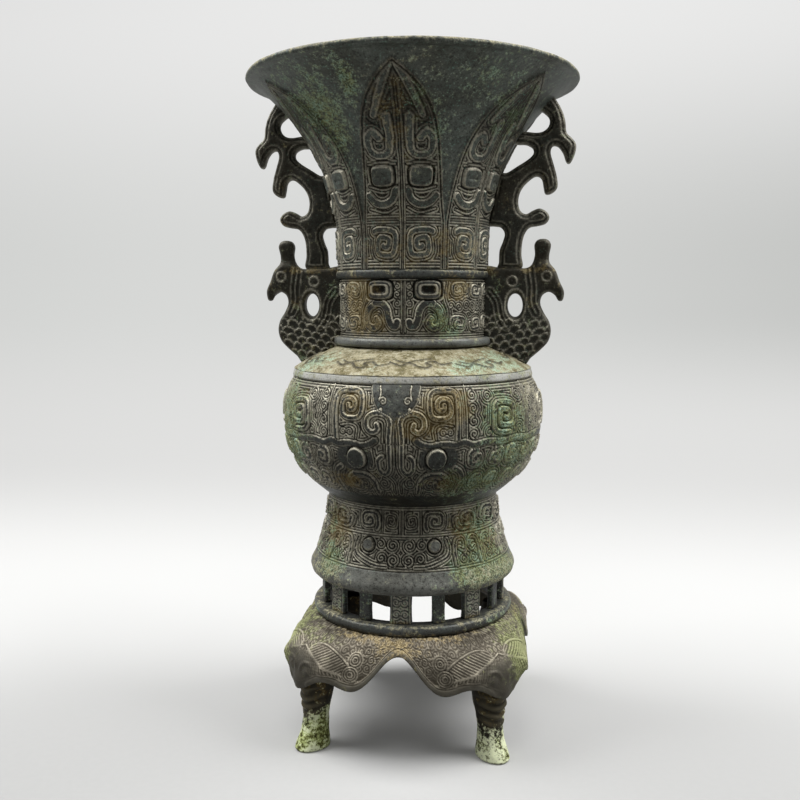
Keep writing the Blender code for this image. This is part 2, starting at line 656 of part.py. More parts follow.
def make_skirt_cutter(cutters):
    """Make the skirt, grown by the clearance on every side, that the legs are fitted to."""
    cutter = add_cutter("skirt_cutter", skirt_mesh("skirt_cutter", CLEARANCE), cutters)
    thicken(cutter, WALL + 2.0 * CLEARANCE)
    return cutter


def main():
    """Build the vase."""
    clear_scene()
    vase = new_collection("bronze_vase")
    cutters = new_collection("cutters")
    make_trumpet(vase)
    make_ring("neck_ring", Z_DRUM_TOP, Z_NECK_RING_TOP, NECK_RADIUS + NECK_RING_PROUD, vase)
    make_neck_drum(vase)
    make_ring("collar_ring", Z_SHOULDER_TOP, Z_COLLAR_TOP, NECK_RADIUS + COLLAR_PROUD, vase)
    make_shoulder(vase)
    make_belly_band(vase)
    make_belly(vase, cutters)
    make_foot(vase, cutters)
    make_posts(vase)
    make_stand_ring(vase)
    make_skirt(vase)
    make_legs(vase, make_skirt_cutter(cutters))
    make_handles(vase, make_body_cutter(cutters))


main()
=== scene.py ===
"""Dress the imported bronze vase: cast relief, handles, stand and patina, lit in a plain studio."""

import math

import bpy
import numpy as np
from bpy.props import FloatProperty, FloatVectorProperty, PointerProperty
from bpy.types import Operator, Panel, PropertyGroup
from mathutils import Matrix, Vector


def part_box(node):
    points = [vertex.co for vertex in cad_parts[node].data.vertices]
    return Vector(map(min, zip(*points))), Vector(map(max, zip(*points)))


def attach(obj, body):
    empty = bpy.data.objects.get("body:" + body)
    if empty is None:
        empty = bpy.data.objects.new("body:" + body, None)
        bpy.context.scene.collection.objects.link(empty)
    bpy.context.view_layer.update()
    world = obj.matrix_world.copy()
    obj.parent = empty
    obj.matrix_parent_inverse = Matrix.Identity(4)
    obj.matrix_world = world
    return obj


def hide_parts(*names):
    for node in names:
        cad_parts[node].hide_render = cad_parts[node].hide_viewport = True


bl_info = {
    "name": "Bronze Vase Dressing",
    "version": (1, 0, 0),
    "blender": (4, 5, 0),
    "location": "3D View > Sidebar > Vase",
    "description": "Builds the cast relief, handles, stand and patina of a bronze vase",
    "category": "Object",
}

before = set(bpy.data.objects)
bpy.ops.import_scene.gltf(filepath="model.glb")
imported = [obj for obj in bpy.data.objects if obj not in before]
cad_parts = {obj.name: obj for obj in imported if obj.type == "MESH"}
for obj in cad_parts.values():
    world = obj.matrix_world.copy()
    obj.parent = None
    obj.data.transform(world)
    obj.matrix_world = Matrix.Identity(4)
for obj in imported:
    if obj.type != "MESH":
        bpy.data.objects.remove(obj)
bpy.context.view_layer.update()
MM = 0.001


def level(node):
    """Give a turned node's widest radius, lowest height and highest height, in millimetres."""
    low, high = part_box(node)
    return high[0] / MM, low[2] / MM, high[2] / MM


MOUTH_R, TRUMPET_LOW, RIM_Z = level("trumpet_mouth")
NECK_R, DRUM_LOW, DRUM_HIGH = level("neck_drum")
SHOULDER_R, SHOULDER_LOW, SHOULDER_HIGH = level("shoulder")
BAND_R, BAND_LOW, BAND_HIGH = level("belly_band")
BELLY_R, BELLY_LOW, BELLY_HIGH = level("belly_bowl")
LIP_R, FOOT_LOW, FOOT_HIGH = level("foot_drum")
SKIRT_LOW, SKIRT_HIGH = level("stand_skirt")[1:]
POST_LOW, POST_HIGH = level("gallery_post_01")[1:]

# Shape of the body that the frame's boxes do not give, in millimetres. The boxes of belly and foot
# take in their raised masks, so the ground between the lines lies lower.
WALL = 3.0
WAIST_R = 47.3
MASK_TALL = 1.6
BAND_INSET = 1.2
WIDEST_Z = 180.0
JAW_Z = 170.6
LEAF_SPLIT_Z = 300.5
LIP_TALL = 3.4
LIP_Z = 94.0
FLANGE_R = 47.5
POST_R = 50.5
LEG_R = 68.0
STAND_BACK_R = 48.0
FLOOR_R = 12.0
FLOOR_TALL = 3.1

# Powers of the profile curves
TRUMPET_FLARE, BELLY_UNDER, BELLY_OVER, FOOT_FLARE = 2.85, 2.65, 2.4, 1.95

# Radii at which the panels are drawn, and how many panels or posts go round
LEAF_R, FOOT_MASK_R, SKIRT_FACE_R = 47.0, 51.5, 70.0
LEAVES, MASKS, POSTS = 6, 2, 16

# The photograph's camera: picture side, focal length and sideways shift in pixels, sensor in
# millimetres, then distance and height in metres, turn and downward tilt in degrees
PICTURE, FOCAL, SHIFT, SENSOR = 800.0, 908.0, -12.7, 36.0
EYE_AWAY, EYE_Z, EYE_TURN, EYE_TILT = 0.513, 0.2438, 7.0, 6.56
LAMP_AIM = (0.0, 0.0, 0.2)


class VaseSettings(PropertyGroup):
    """Sizes and colours that a user would change."""

    handle_edge: FloatProperty(name="Handle edge", description="Rounding of the handles' edges",
                               default=0.0032, unit="LENGTH", precision=4)
    # The dark bronze between the lines is partly patina and partly painted shade; the bronze on the ridges
    # is partly worn bare and partly a painted highlight.
    bronze: FloatVectorProperty(name="Bronze", description="Dark bronze between the lines",
                                default=(0.0080, 0.0074, 0.0056), subtype="COLOR")
    rubbed_highlight: FloatVectorProperty(name="Rubbed bronze", description="Bronze rubbed bare on the ridges",
                                default=(0.520, 0.490, 0.390), subtype="COLOR")
    slate: FloatVectorProperty(name="Slate bronze", description="Smooth grey bronze of the bands",
                               default=(0.062, 0.065, 0.061), subtype="COLOR")
    crust: FloatVectorProperty(name="Crust", description="Pale dry crust of the shoulder",
                               default=(0.400, 0.365, 0.240), subtype="COLOR")
    verdigris: FloatVectorProperty(name="Verdigris", description="Blue-green corrosion",
                                   default=(0.145, 0.300, 0.230), subtype="COLOR")
    leaf_green: FloatVectorProperty(name="Leaf green", description="Yellow-green patina of the feet",
                                    default=(0.600, 0.700, 0.270), subtype="COLOR")
    floor: FloatVectorProperty(name="Floor", description="Pale studio floor",
                               default=(0.50, 0.50, 0.494), subtype="COLOR")


def settings():
    """Give the scene's settings."""
    return bpy.context.scene.vase_settings


def tint(colour, share=1.0):
    """Give a colour, lightened or darkened by a share."""
    return tuple(share * part for part in colour)


# Lines and distances on a flat panel

def smooth(low, high, x):
    """Rise from 0 at low to 1 at high on a cubic."""
    t = np.clip((x - low) / (high - low), 0.0, 1.0)
    return t * t * (3.0 - 2.0 * t)


def bend(*places, steps=6, closed=False):
    """Draw a smooth line through places: cubic pieces whose slope at a place follows its neighbours."""
    p = np.array(places, float)
    ends = (p[-1:], p[:2]) if closed else (2 * p[:1] - p[1:2], 2 * p[-1:] - p[-2:-1])
    q = np.vstack([ends[0], p, ends[1]])
    t = np.linspace(0.0, 1.0, steps, endpoint=False)[None, :, None]
    a, b, c, d = (q[i:len(q) - 3 + i, None, :] for i in range(4))
    run = b + 0.5 * t * (c - a + t * (2 * a - 5 * b + 4 * c - d + t * (3 * (b - c) + d - a)))
    tail = p[:1] if closed else p[-1:]
    return np.vstack([run.reshape(-1, 2), tail])


def curl(u, v, radius, turns=1.6, start=0.0, sense=1.0):
    """Draw a spiral that shrinks evenly from its radius to the centre."""
    t = np.linspace(0.0, 1.0, int(14 * turns) + 2)
    turn = math.radians(start) + sense * math.tau * turns * t
    r = radius * (1.0 - 0.9 * t)
    return np.stack([u + r * np.cos(turn), v + r * np.sin(turn)], 1)


def square_curl(u, v, half_u, half_v, turns=2.3, start=180.0, sense=1.0, power=4.0):
    """Draw a spiral with rounded-square turns: a superellipse that shrinks evenly to its centre."""
    t = np.linspace(0.0, 1.0, int(24 * turns) + 2)
    turn = math.radians(start) + sense * math.tau * turns * t
    c, s = np.cos(turn), np.sin(turn)
    r = (np.abs(c) ** power + np.abs(s) ** power) ** (-1.0 / power) * (1.0 - 0.88 * t)
    return np.stack([u + half_u * r * c, v + half_v * r * s], 1)


def distance(path, u, v):
    """Give the distance from every point of a panel to a line of short straight pieces."""
    best = np.full(u.shape, 99.0)
    for a, b in zip(path[:-1], path[1:]):
        du, dv = b - a
        length = max(du * du + dv * dv, 1e-9)
        t = np.clip(((u - a[0]) * du + (v - a[1]) * dv) / length, 0.0, 1.0)
        best = np.minimum(best, np.hypot(u - a[0] - t * du, v - a[1] - t * dv))
    return best


def wobble(x, y, size, seed=0.0):
    """Give a smooth uneven value from -1 to 1: waves of one size crossing in six directions."""
    total = np.zeros(np.broadcast(x, y).shape)
    for i in range(6):
        turn = 1.13 * i + seed
        k = math.tau / size * (0.7 + 0.13 * i)
        total = total + np.sin(k * (x * math.cos(turn) + y * math.sin(turn)) + 2.3 * i + 5.0 * seed)
    return total / 6.0


class Relief:
    """Cast lines on a panel, by distance u from its middle and height v, in millimetres."""

    def __init__(self, u, v, pitch=1.3):
        self.u, self.v, self.pitch = u, v, pitch
        self.far = np.full(u.shape, 9.0)
        self.rise = np.zeros(u.shape)
        self.bare = np.zeros(u.shape)
        self.calm = np.zeros(u.shape)
        self.bold = np.zeros(u.shape)

    def put(self, where, **values):
        """Set some of the values where a mask holds."""
        for key, value in values.items():
            setattr(self, key, np.where(where, value, getattr(self, key)))

    def line(self, *paths):
        """Lay guide lines, which the fine lines run beside."""
        for path in paths:
            self.far = np.minimum(self.far, distance(path, self.u, self.v))

    def level(self, *heights):
        """Lay guide lines straight across the panel."""
        for height in heights:
            self.far = np.minimum(self.far, np.abs(self.v - height))

    def upright(self, *places):
        """Lay guide lines straight up the panel."""
        for at in places:
            self.far = np.minimum(self.far, np.abs(self.u - at))

    def band(self, *paths, half=1.5, rise=0.8, soft=0.0):
        """Lay flat raised bands: bare on top, with a thin bright line along each edge."""
        for path in paths:
            d = distance(path, self.u, self.v)
            edge = np.abs(d - half)
            near = np.where(d < half - 0.3, self.pitch / 2.0, edge)
            beside = d < half + 0.5 * self.pitch
            self.far = np.where(beside, near, np.minimum(self.far, edge))
            self.put(beside, bold=1.0)
            self.put(d < half + 0.35, rise=rise * smooth(half + 0.35, half - 0.25, d),
                     bare=0.85 * smooth(half - 0.2, half - 0.6, d), calm=soft)

    def boss(self, u, v, half_u, half_v, rise=1.2, power=2.0, slit=0.0):
        """Raise a flat boss with a bright rim and a dark groove about it, and a slit across it."""
        q = np.abs((self.u - u) / half_u) ** power + np.abs((self.v - v) / half_v) ** power
        q = q ** (1.0 / power)
        out = (q - 1.0) * min(half_u, half_v)
        near = out < 0.9
        dome = rise * (0.8 * smooth(0.0, -0.7, out) + 0.2 * np.sqrt(np.clip(1.0 - q * q, 0.0, 1.0)))
        if slit:
            cut = np.hypot(np.maximum(np.abs(self.u - u) - slit, 0.0), self.v - v)
            dome = dome - 0.8 * smooth(1.0, 0.3, cut)
        self.far = np.minimum(self.far, out)
        self.put(near, far=np.minimum(np.abs(out + 0.35), 0.5 * self.pitch),
                 rise=dome - 0.5 * smooth(0.9, 0.5, out) * smooth(-0.2, 0.3, out),
                 bare=smooth(-0.5, -0.9, out), calm=0.0, bold=1.0)

    def groove(self, *paths, half=0.35, depth=0.45):
        """Cut fine grooves."""
        for path in paths:
            d = distance(path, self.u, self.v)
            self.rise = self.rise - depth * smooth(half + 0.35, half - 0.2, d)

    def clear(self, amount):
        """Leave part of the panel bare of fine lines."""
        self.bare = np.maximum(self.bare, amount)

    def finish(self, depth=0.5, reach=7.0):
        """Return the height, the crest share and the bare share: fine lines every pitch from a guide."""
        wave = 0.5 + 0.5 * np.cos(math.tau * self.far / self.pitch)
        ridge = smooth(0.25 - 0.2 * self.bold, 0.9 - 0.25 * self.bold, wave) * (0.75 + 0.25 * self.bold)
        ridge = ridge * smooth(reach + 1.0, reach, self.far) * (1.0 - np.maximum(self.bare, self.calm))
        return self.rise + depth * (ridge + 0.5 * self.bare), ridge, self.bare


def mirrored(count, units):
    """Give each column's place in a half panel, for panels that mirror and repeat round the vase."""
    each = count // units
    i = np.arange(count)
    return np.abs((i + each // 2) % each - each // 2)


def panel(count, units, radius, heights, draw):
    """Work out one half panel and repeat it round the vase as rows of heights and shares."""
    columns = count // units // 2 + 1
    u = np.arange(columns) * (math.tau / count) * radius
    grid_u, grid_v = np.meshgrid(u, heights)
    pick = mirrored(count, units)
    return [part[:, pick] for part in draw(grid_u, grid_v)]


# The friezes

def draw_leaf(u, v):
    """Draw half of an upright leaf: a lancet edge with eye block, scrolls and a square spiral."""
    share = np.clip((v - 281.0) / 72.5, 0.0, 1.2)
    edge = 24.6 * (1.0 - 0.42 * share - 0.58 * share ** 5)
    r = Relief(u, v, 1.5)
    r.level(258.6, 281.3, 284.0)
    r.line(bend((3.0, 309.6), (10.0, 310.4), (17.0, 309.6)))
    r.line(bend((2.6, 299.0), (10.0, 297.2), (18.0, 299.0)))
    r.band(square_curl(10.6, 270.0, 7.6, 7.9, 1.75, 45.0, 1.0), half=1.25, rise=0.7)
    r.band(bend((3.2, 297.0), (5.0, 292.6), (9.8, 290.2), (15.0, 291.2), (18.4, 294.6)),
           half=1.7, rise=1.0)
    r.line(bend((3.0, 288.6), (9.6, 286.0), (18.6, 288.0)))
    r.band(bend((4.4, 331.0), (4.3, 321.0), (5.4, 315.4), (9.6, 313.6), (13.8, 315.6), (14.2, 321.0),
                (11.6, 324.4), (9.0, 321.6)), half=1.35, rise=0.6)
    r.calm = np.maximum(r.calm, 0.45 * smooth(312.0, 330.0, v) * (r.bare < 0.05) * (r.far > 0.5))
    r.band(bend((1.6, 350.5), (4.6, 343.0), (9.4, 331.5)), half=0.9, rise=0.6)
    r.line(bend((1.0, 334.6), (5.0, 334.2), (7.4, 331.2)))
    r.boss(10.0, 304.0, 5.9, 4.9, rise=1.5, power=4.0, slit=2.4)
    rib = smooth(1.9, 1.3, u) * (v < 345.0)
    r.put(rib > 0.0, far=np.abs(u - 1.3))
    r.rise = r.rise * (1.0 - rib)
    r.bare = r.bare * (1.0 - rib)
    border = edge - u
    r.put(border < 2.6, far=np.minimum(np.abs(border - 0.5), np.abs(border - 2.2)),
          rise=0.25, bare=0.0, calm=0.2)
    inside = smooth(-0.3, 0.3, border)
    height, crest, bare = r.finish(0.5)
    crest = crest * inside * (0.45 + 0.55 * smooth(335.0, 300.0, v))
    return 0.55 * inside + height * inside, crest, np.maximum(bare, 1.0 - inside)


def draw_neck(u, v):
    """Draw half of the neck mask: ringed eye, broad trunk scrolls and rows of small curls."""
    r = Relief(u, v, 1.3)
    r.level(DRUM_HIGH - 0.9, DRUM_LOW + 1.4)
    r.line(curl(3.2, 248.6, 1.6, 1.2, 90.0), curl(3.4, 244.4, 1.8, 1.3, 270.0),
           curl(3.2, 239.6, 1.8, 1.3, 90.0))
    r.line(bend((1.0, 225.0), (1.0, 251.0)))
    r.line(bend((24.0, 251.0), (23.2, 243.0), (26.0, 235.0), (24.6, 226.0)))
    for i, sense in enumerate((1.0, -1.0, 1.0)):
        r.band(square_curl(31.0 + 13.6 * i, 246.8, 5.0, 3.6, 1.35, 0.0, sense), half=0.85, rise=0.5)
        r.band(square_curl(31.4 + 13.4 * i, 229.2, 5.0, 3.6, 1.35, 180.0, -sense), half=0.85, rise=0.5)
    for i in range(8):
        r.line(curl(26.4 + 5.2 * i, 238.2 + 0.5 * (-1) ** i, 2.2, 1.4, 180.0 * (i % 2), (-1.0) ** i))
    r.band(bend((14.4, 239.8), (18.6, 237.4), (20.6, 233.2), (19.8, 228.8), (16.4, 227.0), (13.6, 229.2),
                (14.8, 231.6)), half=1.5, rise=0.95)
    r.band(bend((15.4, 240.0), (11.4, 239.6), (8.6, 236.4), (7.6, 231.6), (6.0, 228.2), (3.8, 228.0),
                (3.2, 230.2)), half=1.7, rise=1.0)
    r.boss(13.2, 246.8, 7.0, 4.8, rise=0.9, power=4.0)
    ring = (np.abs((u - 13.2) / 4.6) ** 4 + np.abs((v - 246.8) / 2.6) ** 4) ** 0.25
    r.put(ring < 1.35, far=np.abs(ring - 1.0) * 2.6)
    r.put(ring < 1.8, calm=0.35)
    r.calm = np.maximum(r.calm, smooth(0.8, 0.6, ring))
    r.bare = r.bare * smooth(1.15, 1.35, ring)
    r.rise = r.rise - 0.9 * smooth(0.8, 0.5, ring)
    return r.finish(0.5)


# The jaw line runs along the seam of the belly's two courses, so both draw it
JAW_LINE = bend((10.5, 172.6), (13.4, 170.6), (18.0, 169.8), (25.0, 170.8), (31.0, 170.2),
                (36.0, 171.4), (41.0, 169.8), (50.0, 170.9), (60.0, 170.1), (71.0, 171.0),
                (82.0, 170.0), (94.0, 170.9), (106.0, 170.1), (116.0, 170.6))


def draw_belly_upper(u, v):
    """Draw half of the belly mask's upper part: bare shield, horn spiral, brow and side scrolls."""
    r = Relief(u, v, 1.35)
    r.level(BELLY_HIGH - 1.2)
    r.line(curl(24.3, 176.4, 1.8, 1.4, 0.0), curl(28.2, 176.4, 1.8, 1.4, 180.0, -1.0))
    r.line(bend((20.6, 173.2), (20.2, 178.6), (24.0, 180.4), (29.6, 179.6)))
    r.band(bend((32.4, 172.8), (32.6, 182.0), (32.6, 192.4), (31.2, 195.8), (27.6, 196.8), (21.6, 196.8),
                (18.4, 195.2), (17.6, 191.6), (17.8, 186.4), (20.0, 183.8), (25.6, 183.6), (28.4, 185.4),
                (28.8, 189.4), (27.2, 192.4), (23.4, 192.8), (21.4, 190.6), (22.2, 187.8), (24.8, 187.8),
                (25.2, 189.8)), half=0.95, rise=0.9)
    r.band(bend((3.4, 171.6), (3.1, 177.6), (2.9, 182.0), (5.2, 185.4), (10.4, 186.2), (14.2, 183.8),
                (14.6, 179.4), (12.0, 176.8), (9.2, 178.0), (9.6, 180.6)), half=1.0, rise=0.95)
    r.line(bend((6.6, 171.6), (6.4, 178.0), (6.8, 181.4), (9.0, 182.6)))
    r.upright(37.4, 80.4)
    r.band(JAW_LINE, half=1.45, rise=0.6, soft=0.65)
    for side, sense in ((0.0, 1.0), (43.0, -1.0)):
        for i in range(4):
            r.line(curl(41.2 + side, 194.4 - 6.4 * i, 2.3, 1.4, 90.0 + 180.0 * i, sense * (-1.0) ** i))
        start = 250.0 if side else 290.0
        r.band(square_curl(61.5 + side, 183.4, 9.4, 8.8, 2.1, start, -sense), half=1.0, rise=0.9)
        r.line(curl(50.6 + side, 193.6, 2.2, 1.4), curl(73.6 + side, 193.4, 2.2, 1.4, 180.0, -1.0))
        r.line(curl(50.4 + side, 175.4, 2.2, 1.4, 90.0), curl(73.4 + side, 175.6, 2.2, 1.4, 270.0, -1.0))
    shield = np.interp(v, (181.0, 184.6, 187.2, 192.0, 199.0), (0.0, 3.0, 8.6, 11.6, 13.4))
    plate = (u < shield) & (v > 181.0)
    rim = plate | (u < shield + 0.6) & (v > 184.0)
    r.put(rim, far=np.minimum(np.abs(u - shield), 0.65))
    r.put(plate, bare=smooth(-0.3, -0.7, u - shield), rise=0.6 * smooth(0.0, -0.5, u - shield))
    thread = np.minimum(distance(curl(6.4, 191.8, 2.1, 1.4, 10.0), u, v),
                        distance(bend((8.4, 199.0), (7.8, 195.8), (8.5, 192.2)), u, v))
    thread = np.minimum(thread, distance(curl(7.2, 187.9, 0.7, 0.95), u, v))
    r.put(thread < 0.75, far=thread, bare=0.0)
    return r.finish(0.75)


def draw_belly_lower(u, v):
    """Draw half of the belly mask's lower part: eye disc, tongues, cheek scrolls and spirals."""
    r = Relief(u, v, 1.35)
    r.line(curl(7.6, 149.6, 3.0, 1.8, 90.0), bend((2.0, 144.0), (2.4, 150.0), (6.0, 153.4)))
    r.line(curl(27.0, 149.4, 3.6, 1.7, 160.0), curl(19.2, 149.0, 2.6, 1.5, 0.0))
    r.line(bend((11.0, 167.8), (10.4, 161.0), (12.2, 157.2), (15.8, 157.0), (15.4, 159.6)))
    r.band(bend((3.4, 171.6), (3.1, 163.6), (3.6, 158.0), (6.2, 155.4), (9.0, 157.4), (9.2, 162.4),
                (7.0, 164.6)), half=0.95, rise=0.9)
    r.band(bend((12.2, 144.6), (13.4, 151.2), (17.8, 154.6), (24.6, 154.8), (28.8, 151.6), (27.6, 147.6),
                (23.4, 147.4), (21.8, 150.0)), half=1.0, rise=0.85)
    r.band(bend((36.4, 144.6), (37.4, 151.0), (35.2, 156.0), (31.6, 158.4)), half=1.1, rise=0.8)
    for i in range(6):
        sense = (-1.0) ** i
        r.band(square_curl(43.6 + 12.4 * i, 162.8, 4.7, 4.3, 1.3, 90.0, sense), half=1.1, rise=0.85)
        r.band(curl(46.0 + 12.4 * i, 149.8, 4.4, 1.3, 90.0 - 90.0 * sense, sense), half=1.0, rise=0.75)
    r.clear(0.9 * smooth(1.05, 0.85, np.hypot((u - 22.6) / 11.0, (v - 163.4) / 7.4)) * (r.rise < 0.1))
    r.band(JAW_LINE, half=1.45, rise=0.6, soft=0.65)
    r.boss(21.2, 163.2, 5.3, 5.3, rise=1.9)
    r.clear(smooth(142.6, 141.6, v))
    return r.finish(0.7)


def draw_foot(u, v):
    """Draw half of the foot's mask: square spirals above, eye boss and rows of curls below."""
    r = Relief(u, v, 1.3)
    r.level(132.4, 118.6, 101.4)
    r.line(square_curl(5.8, 126.0, 4.2, 4.8, 1.7, 90.0))
    r.line(bend((1.0, 119.0), (1.0, 132.0)), bend((11.0, 119.6), (11.0, 131.6)))
    r.band(square_curl(19.0, 126.0, 5.8, 5.0, 1.6, 225.0, -1.0), half=1.0, rise=0.9)
    for i, (at, wide) in enumerate(((38.8, 6.6), (57.4, 6.4), (73.2, 5.2))):
        sense = (-1.0) ** i
        r.band(square_curl(at, 125.8, wide, 5.0, 1.5, 180.0, sense), half=1.05, rise=0.95)
        r.groove(bend((at - wide - 3.0, 119.8), (at - wide - 3.0, 131.6)), half=0.8, depth=1.0)
        r.groove(bend((at - 2.6, 122.6), (at - 2.2, 126.4)), bend((at + 2.8, 123.6), (at + 2.8, 127.0)),
                 half=0.9, depth=1.4)
    r.line(curl(4.6, 113.6, 3.0, 1.7, 60.0, -1.0), curl(11.2, 114.0, 2.5, 1.5, 90.0))
    r.line(curl(3.9, 106.2, 2.7, 1.5, 270.0), curl(10.2, 107.0, 2.6, 1.5, 200.0, -1.0))
    r.band(bend((7.4, 102.9), (13.4, 103.2), (19.4, 105.0), (24.6, 107.6), (26.2, 111.6), (25.0, 116.4)),
           half=0.8, rise=0.7)
    for i, at in enumerate((32.6, 41.8, 51.0, 60.2, 69.4, 78.6)):
        sense = (-1.0) ** i
        r.band(bend((at - 3.2 * sense, 103.0), (at - 3.4 * sense, 110.2), (at - 2.2 * sense, 115.2),
                    (at + 1.6 * sense, 116.2), (at + 3.2 * sense, 113.4), (at + 2.0 * sense, 110.2),
                    (at - 0.2 * sense, 111.4)), half=0.8, rise=0.75)
        r.line(curl(at + 1.4 * sense, 105.4, 2.1, 1.4, 90.0, sense))
    r.bare = r.bare * 0.25
    r.boss(18.2, 113.2, 3.3, 3.3, rise=1.6)
    r.bare = r.bare * 0.8
    r.clear(smooth(100.8, 100.2, v))
    return r.finish(0.85)


def draw_post(u, v):
    """Draw half of a wide post's face: paired curls over a stem."""
    r = Relief(u, v, 1.5)
    r.upright(5.0)
    r.line(curl(2.3, 11.5, 2.0, 1.4, 180.0), curl(2.3, 5.0, 2.0, 1.4, 180.0, -1.0))
    return r.finish(0.45)


def draw_skirt(u, v, from_edge):
    """Draw half of a skirt face: ringed spirals on the lobe, a hatched wing and a rolled border."""
    r = Relief(u, v, 1.25)
    for i in range(14):
        for j in range(4):
            at = 2.2 + 4.3 * i + 2.1 * (j % 2)
            r.line(curl(at, 63.6 - 3.9 * j, 1.7, 1.2, 67.0 * (i + 2 * j), (-1.0) ** (i + j)))
    r.calm = r.calm + 0.35
    along = (u - 28.0) * 0.93 + (v - 47.0) * 0.37
    across = (v - 47.0) * 0.93 - (u - 28.0) * 0.37
    half = 8.6 * np.sqrt(np.clip(1.0 - ((along - 11.0) / 14.5) ** 2, 0.0, 1.0))
    wing = half - np.abs(across)
    hatch = (along + 0.8 * np.abs(across)) % 1.7
    r.put(wing > 0.0, far=np.minimum(hatch, 1.7 - hatch) * r.pitch / 1.7)
    r.put(np.abs(wing) < 0.9, far=np.abs(wing), bold=1.0)
    r.put((wing > 0.7) & (np.abs(across) < 0.6), far=0.0)
    r.put(wing > -0.9, calm=0.0, rise=0.3 * smooth(-0.9, 0.2, wing))
    for u0, v0, size in ((23.2, 55.6, 3.4), (25.2, 48.6, 3.8)):
        ring = np.hypot(u - u0, v - v0)
        r.put(ring < size + 0.6, far=np.abs((ring / 1.25 + 0.5) % 1.0 - 0.5) * r.pitch,
              rise=0.45 * smooth(size + 0.6, size - 0.2, ring), calm=0.0)
    roll = np.sqrt(np.clip(1.0 - ((from_edge - 1.7) / 2.1) ** 2, 0.0, 1.0))
    r.put(from_edge < 5.0, far=np.minimum(np.abs(from_edge - 4.4), 0.6), rise=0.35 + 0.9 * roll, calm=0.0)
    r.clear(smooth(4.0, 3.5, from_edge))
    return r.finish(0.65, 1.9)


# Meshes

def grid_mesh(name, rows, shares, poles=False, sharp=()):
    """Make a closed mesh from rows of points round the vase: wrapped rows, or a pole at each end.

    The rows named sharp keep a crisp edge, so that courses of relief meet without a seam.
    """
    m, n = rows.shape[:2]
    points = rows.reshape(-1, 3)
    i, j = np.meshgrid(np.arange(m - 1 if poles else m), np.arange(n), indexing="ij")
    k, l = (i + 1) % m, (j + 1) % n
    quads = np.stack([i * n + j, k * n + j, k * n + l, i * n + l], -1).reshape(-1, 4)
    tris = np.zeros((0, 3), int)
    if poles:
        points = np.vstack([points, rows[:1].mean(1), rows[-1:].mean(1)])
        around = np.arange(n)
        first = np.stack([np.full(n, m * n), around, (around + 1) % n], 1)
        last = np.stack([np.full(n, m * n + 1), (m - 1) * n + (around + 1) % n, (m - 1) * n + around], 1)
        tris = np.vstack([first, last])
    mesh = face_mesh(name, points, quads, tris, shares)
    if sharp:
        ends = np.zeros(len(mesh.edges) * 2, np.int32)
        mesh.edges.foreach_get("vertices", ends)
        line = ends.reshape(-1, 2) // n
        crisp = (line[:, 0] == line[:, 1]) & np.isin(line[:, 0], sharp)
        mesh.attributes.new("sharp_edge", "BOOLEAN", "EDGE").data.foreach_set("value", crisp)
    return mesh


def face_mesh(name, points, quads, tris, shares):
    """Put points, four-sided and three-sided faces and point shares into a mesh that faces outwards."""
    corner = points[quads]
    volume = np.einsum("ij,ij->", np.cross(corner[:, 2] - corner[:, 0], corner[:, 3] - corner[:, 1]),
                       corner.mean(1))
    if volume < 0.0:
        quads, tris = quads[:, ::-1], tris[:, ::-1]
    mesh = bpy.data.meshes.new(name)
    mesh.vertices.add(len(points))
    mesh.vertices.foreach_set("co", (points * MM).astype(np.float32).ravel())
    loops = np.concatenate([quads.ravel(), tris.ravel()])
    mesh.loops.add(len(loops))
    mesh.loops.foreach_set("vertex_index", loops.astype(np.int32))
    starts = np.concatenate([np.arange(len(quads)) * 4, len(quads) * 4 + np.arange(len(tris)) * 3])
    mesh.polygons.add(len(starts))
    mesh.polygons.foreach_set("loop_start", starts.astype(np.int32))
    mesh.polygons.foreach_set("use_smooth", np.ones(len(starts), bool))
    mesh.update(calc_edges=True)
    for key, values in shares.items():
        flat = np.asarray(values, float).ravel()
        flat = np.concatenate([flat, np.full(len(points) - len(flat), flat[-1] if len(flat) else 0.0)])
        mesh.attributes.new(key, "FLOAT", "POINT").data.foreach_set("value", flat.astype(np.float32))
    return mesh


def place(name, mesh, finish, slot, *nodes):
    """Link a finished piece: it rides on the vase and stands for its CAD nodes; slot is not used."""
    piece = bpy.data.objects.new(name, mesh)
    bpy.context.scene.collection.objects.link(piece)
    mesh.materials.append(finish)
    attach(piece, "root")
    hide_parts(*nodes)


def patches(angle, z, spots):
    """Add soft round patches: each has an angle, a height, a width, a tallness and a strength."""
    total = np.zeros(np.broadcast(angle, z).shape)
    for a0, z0, wide, tall, strength in spots:
        da = (angle - a0 + 180.0) % 360.0 - 180.0
        total = total + strength * np.exp(-((da / wide) ** 2) - ((z - z0) / tall) ** 2)
    return np.clip(total, 0.0, 1.0)


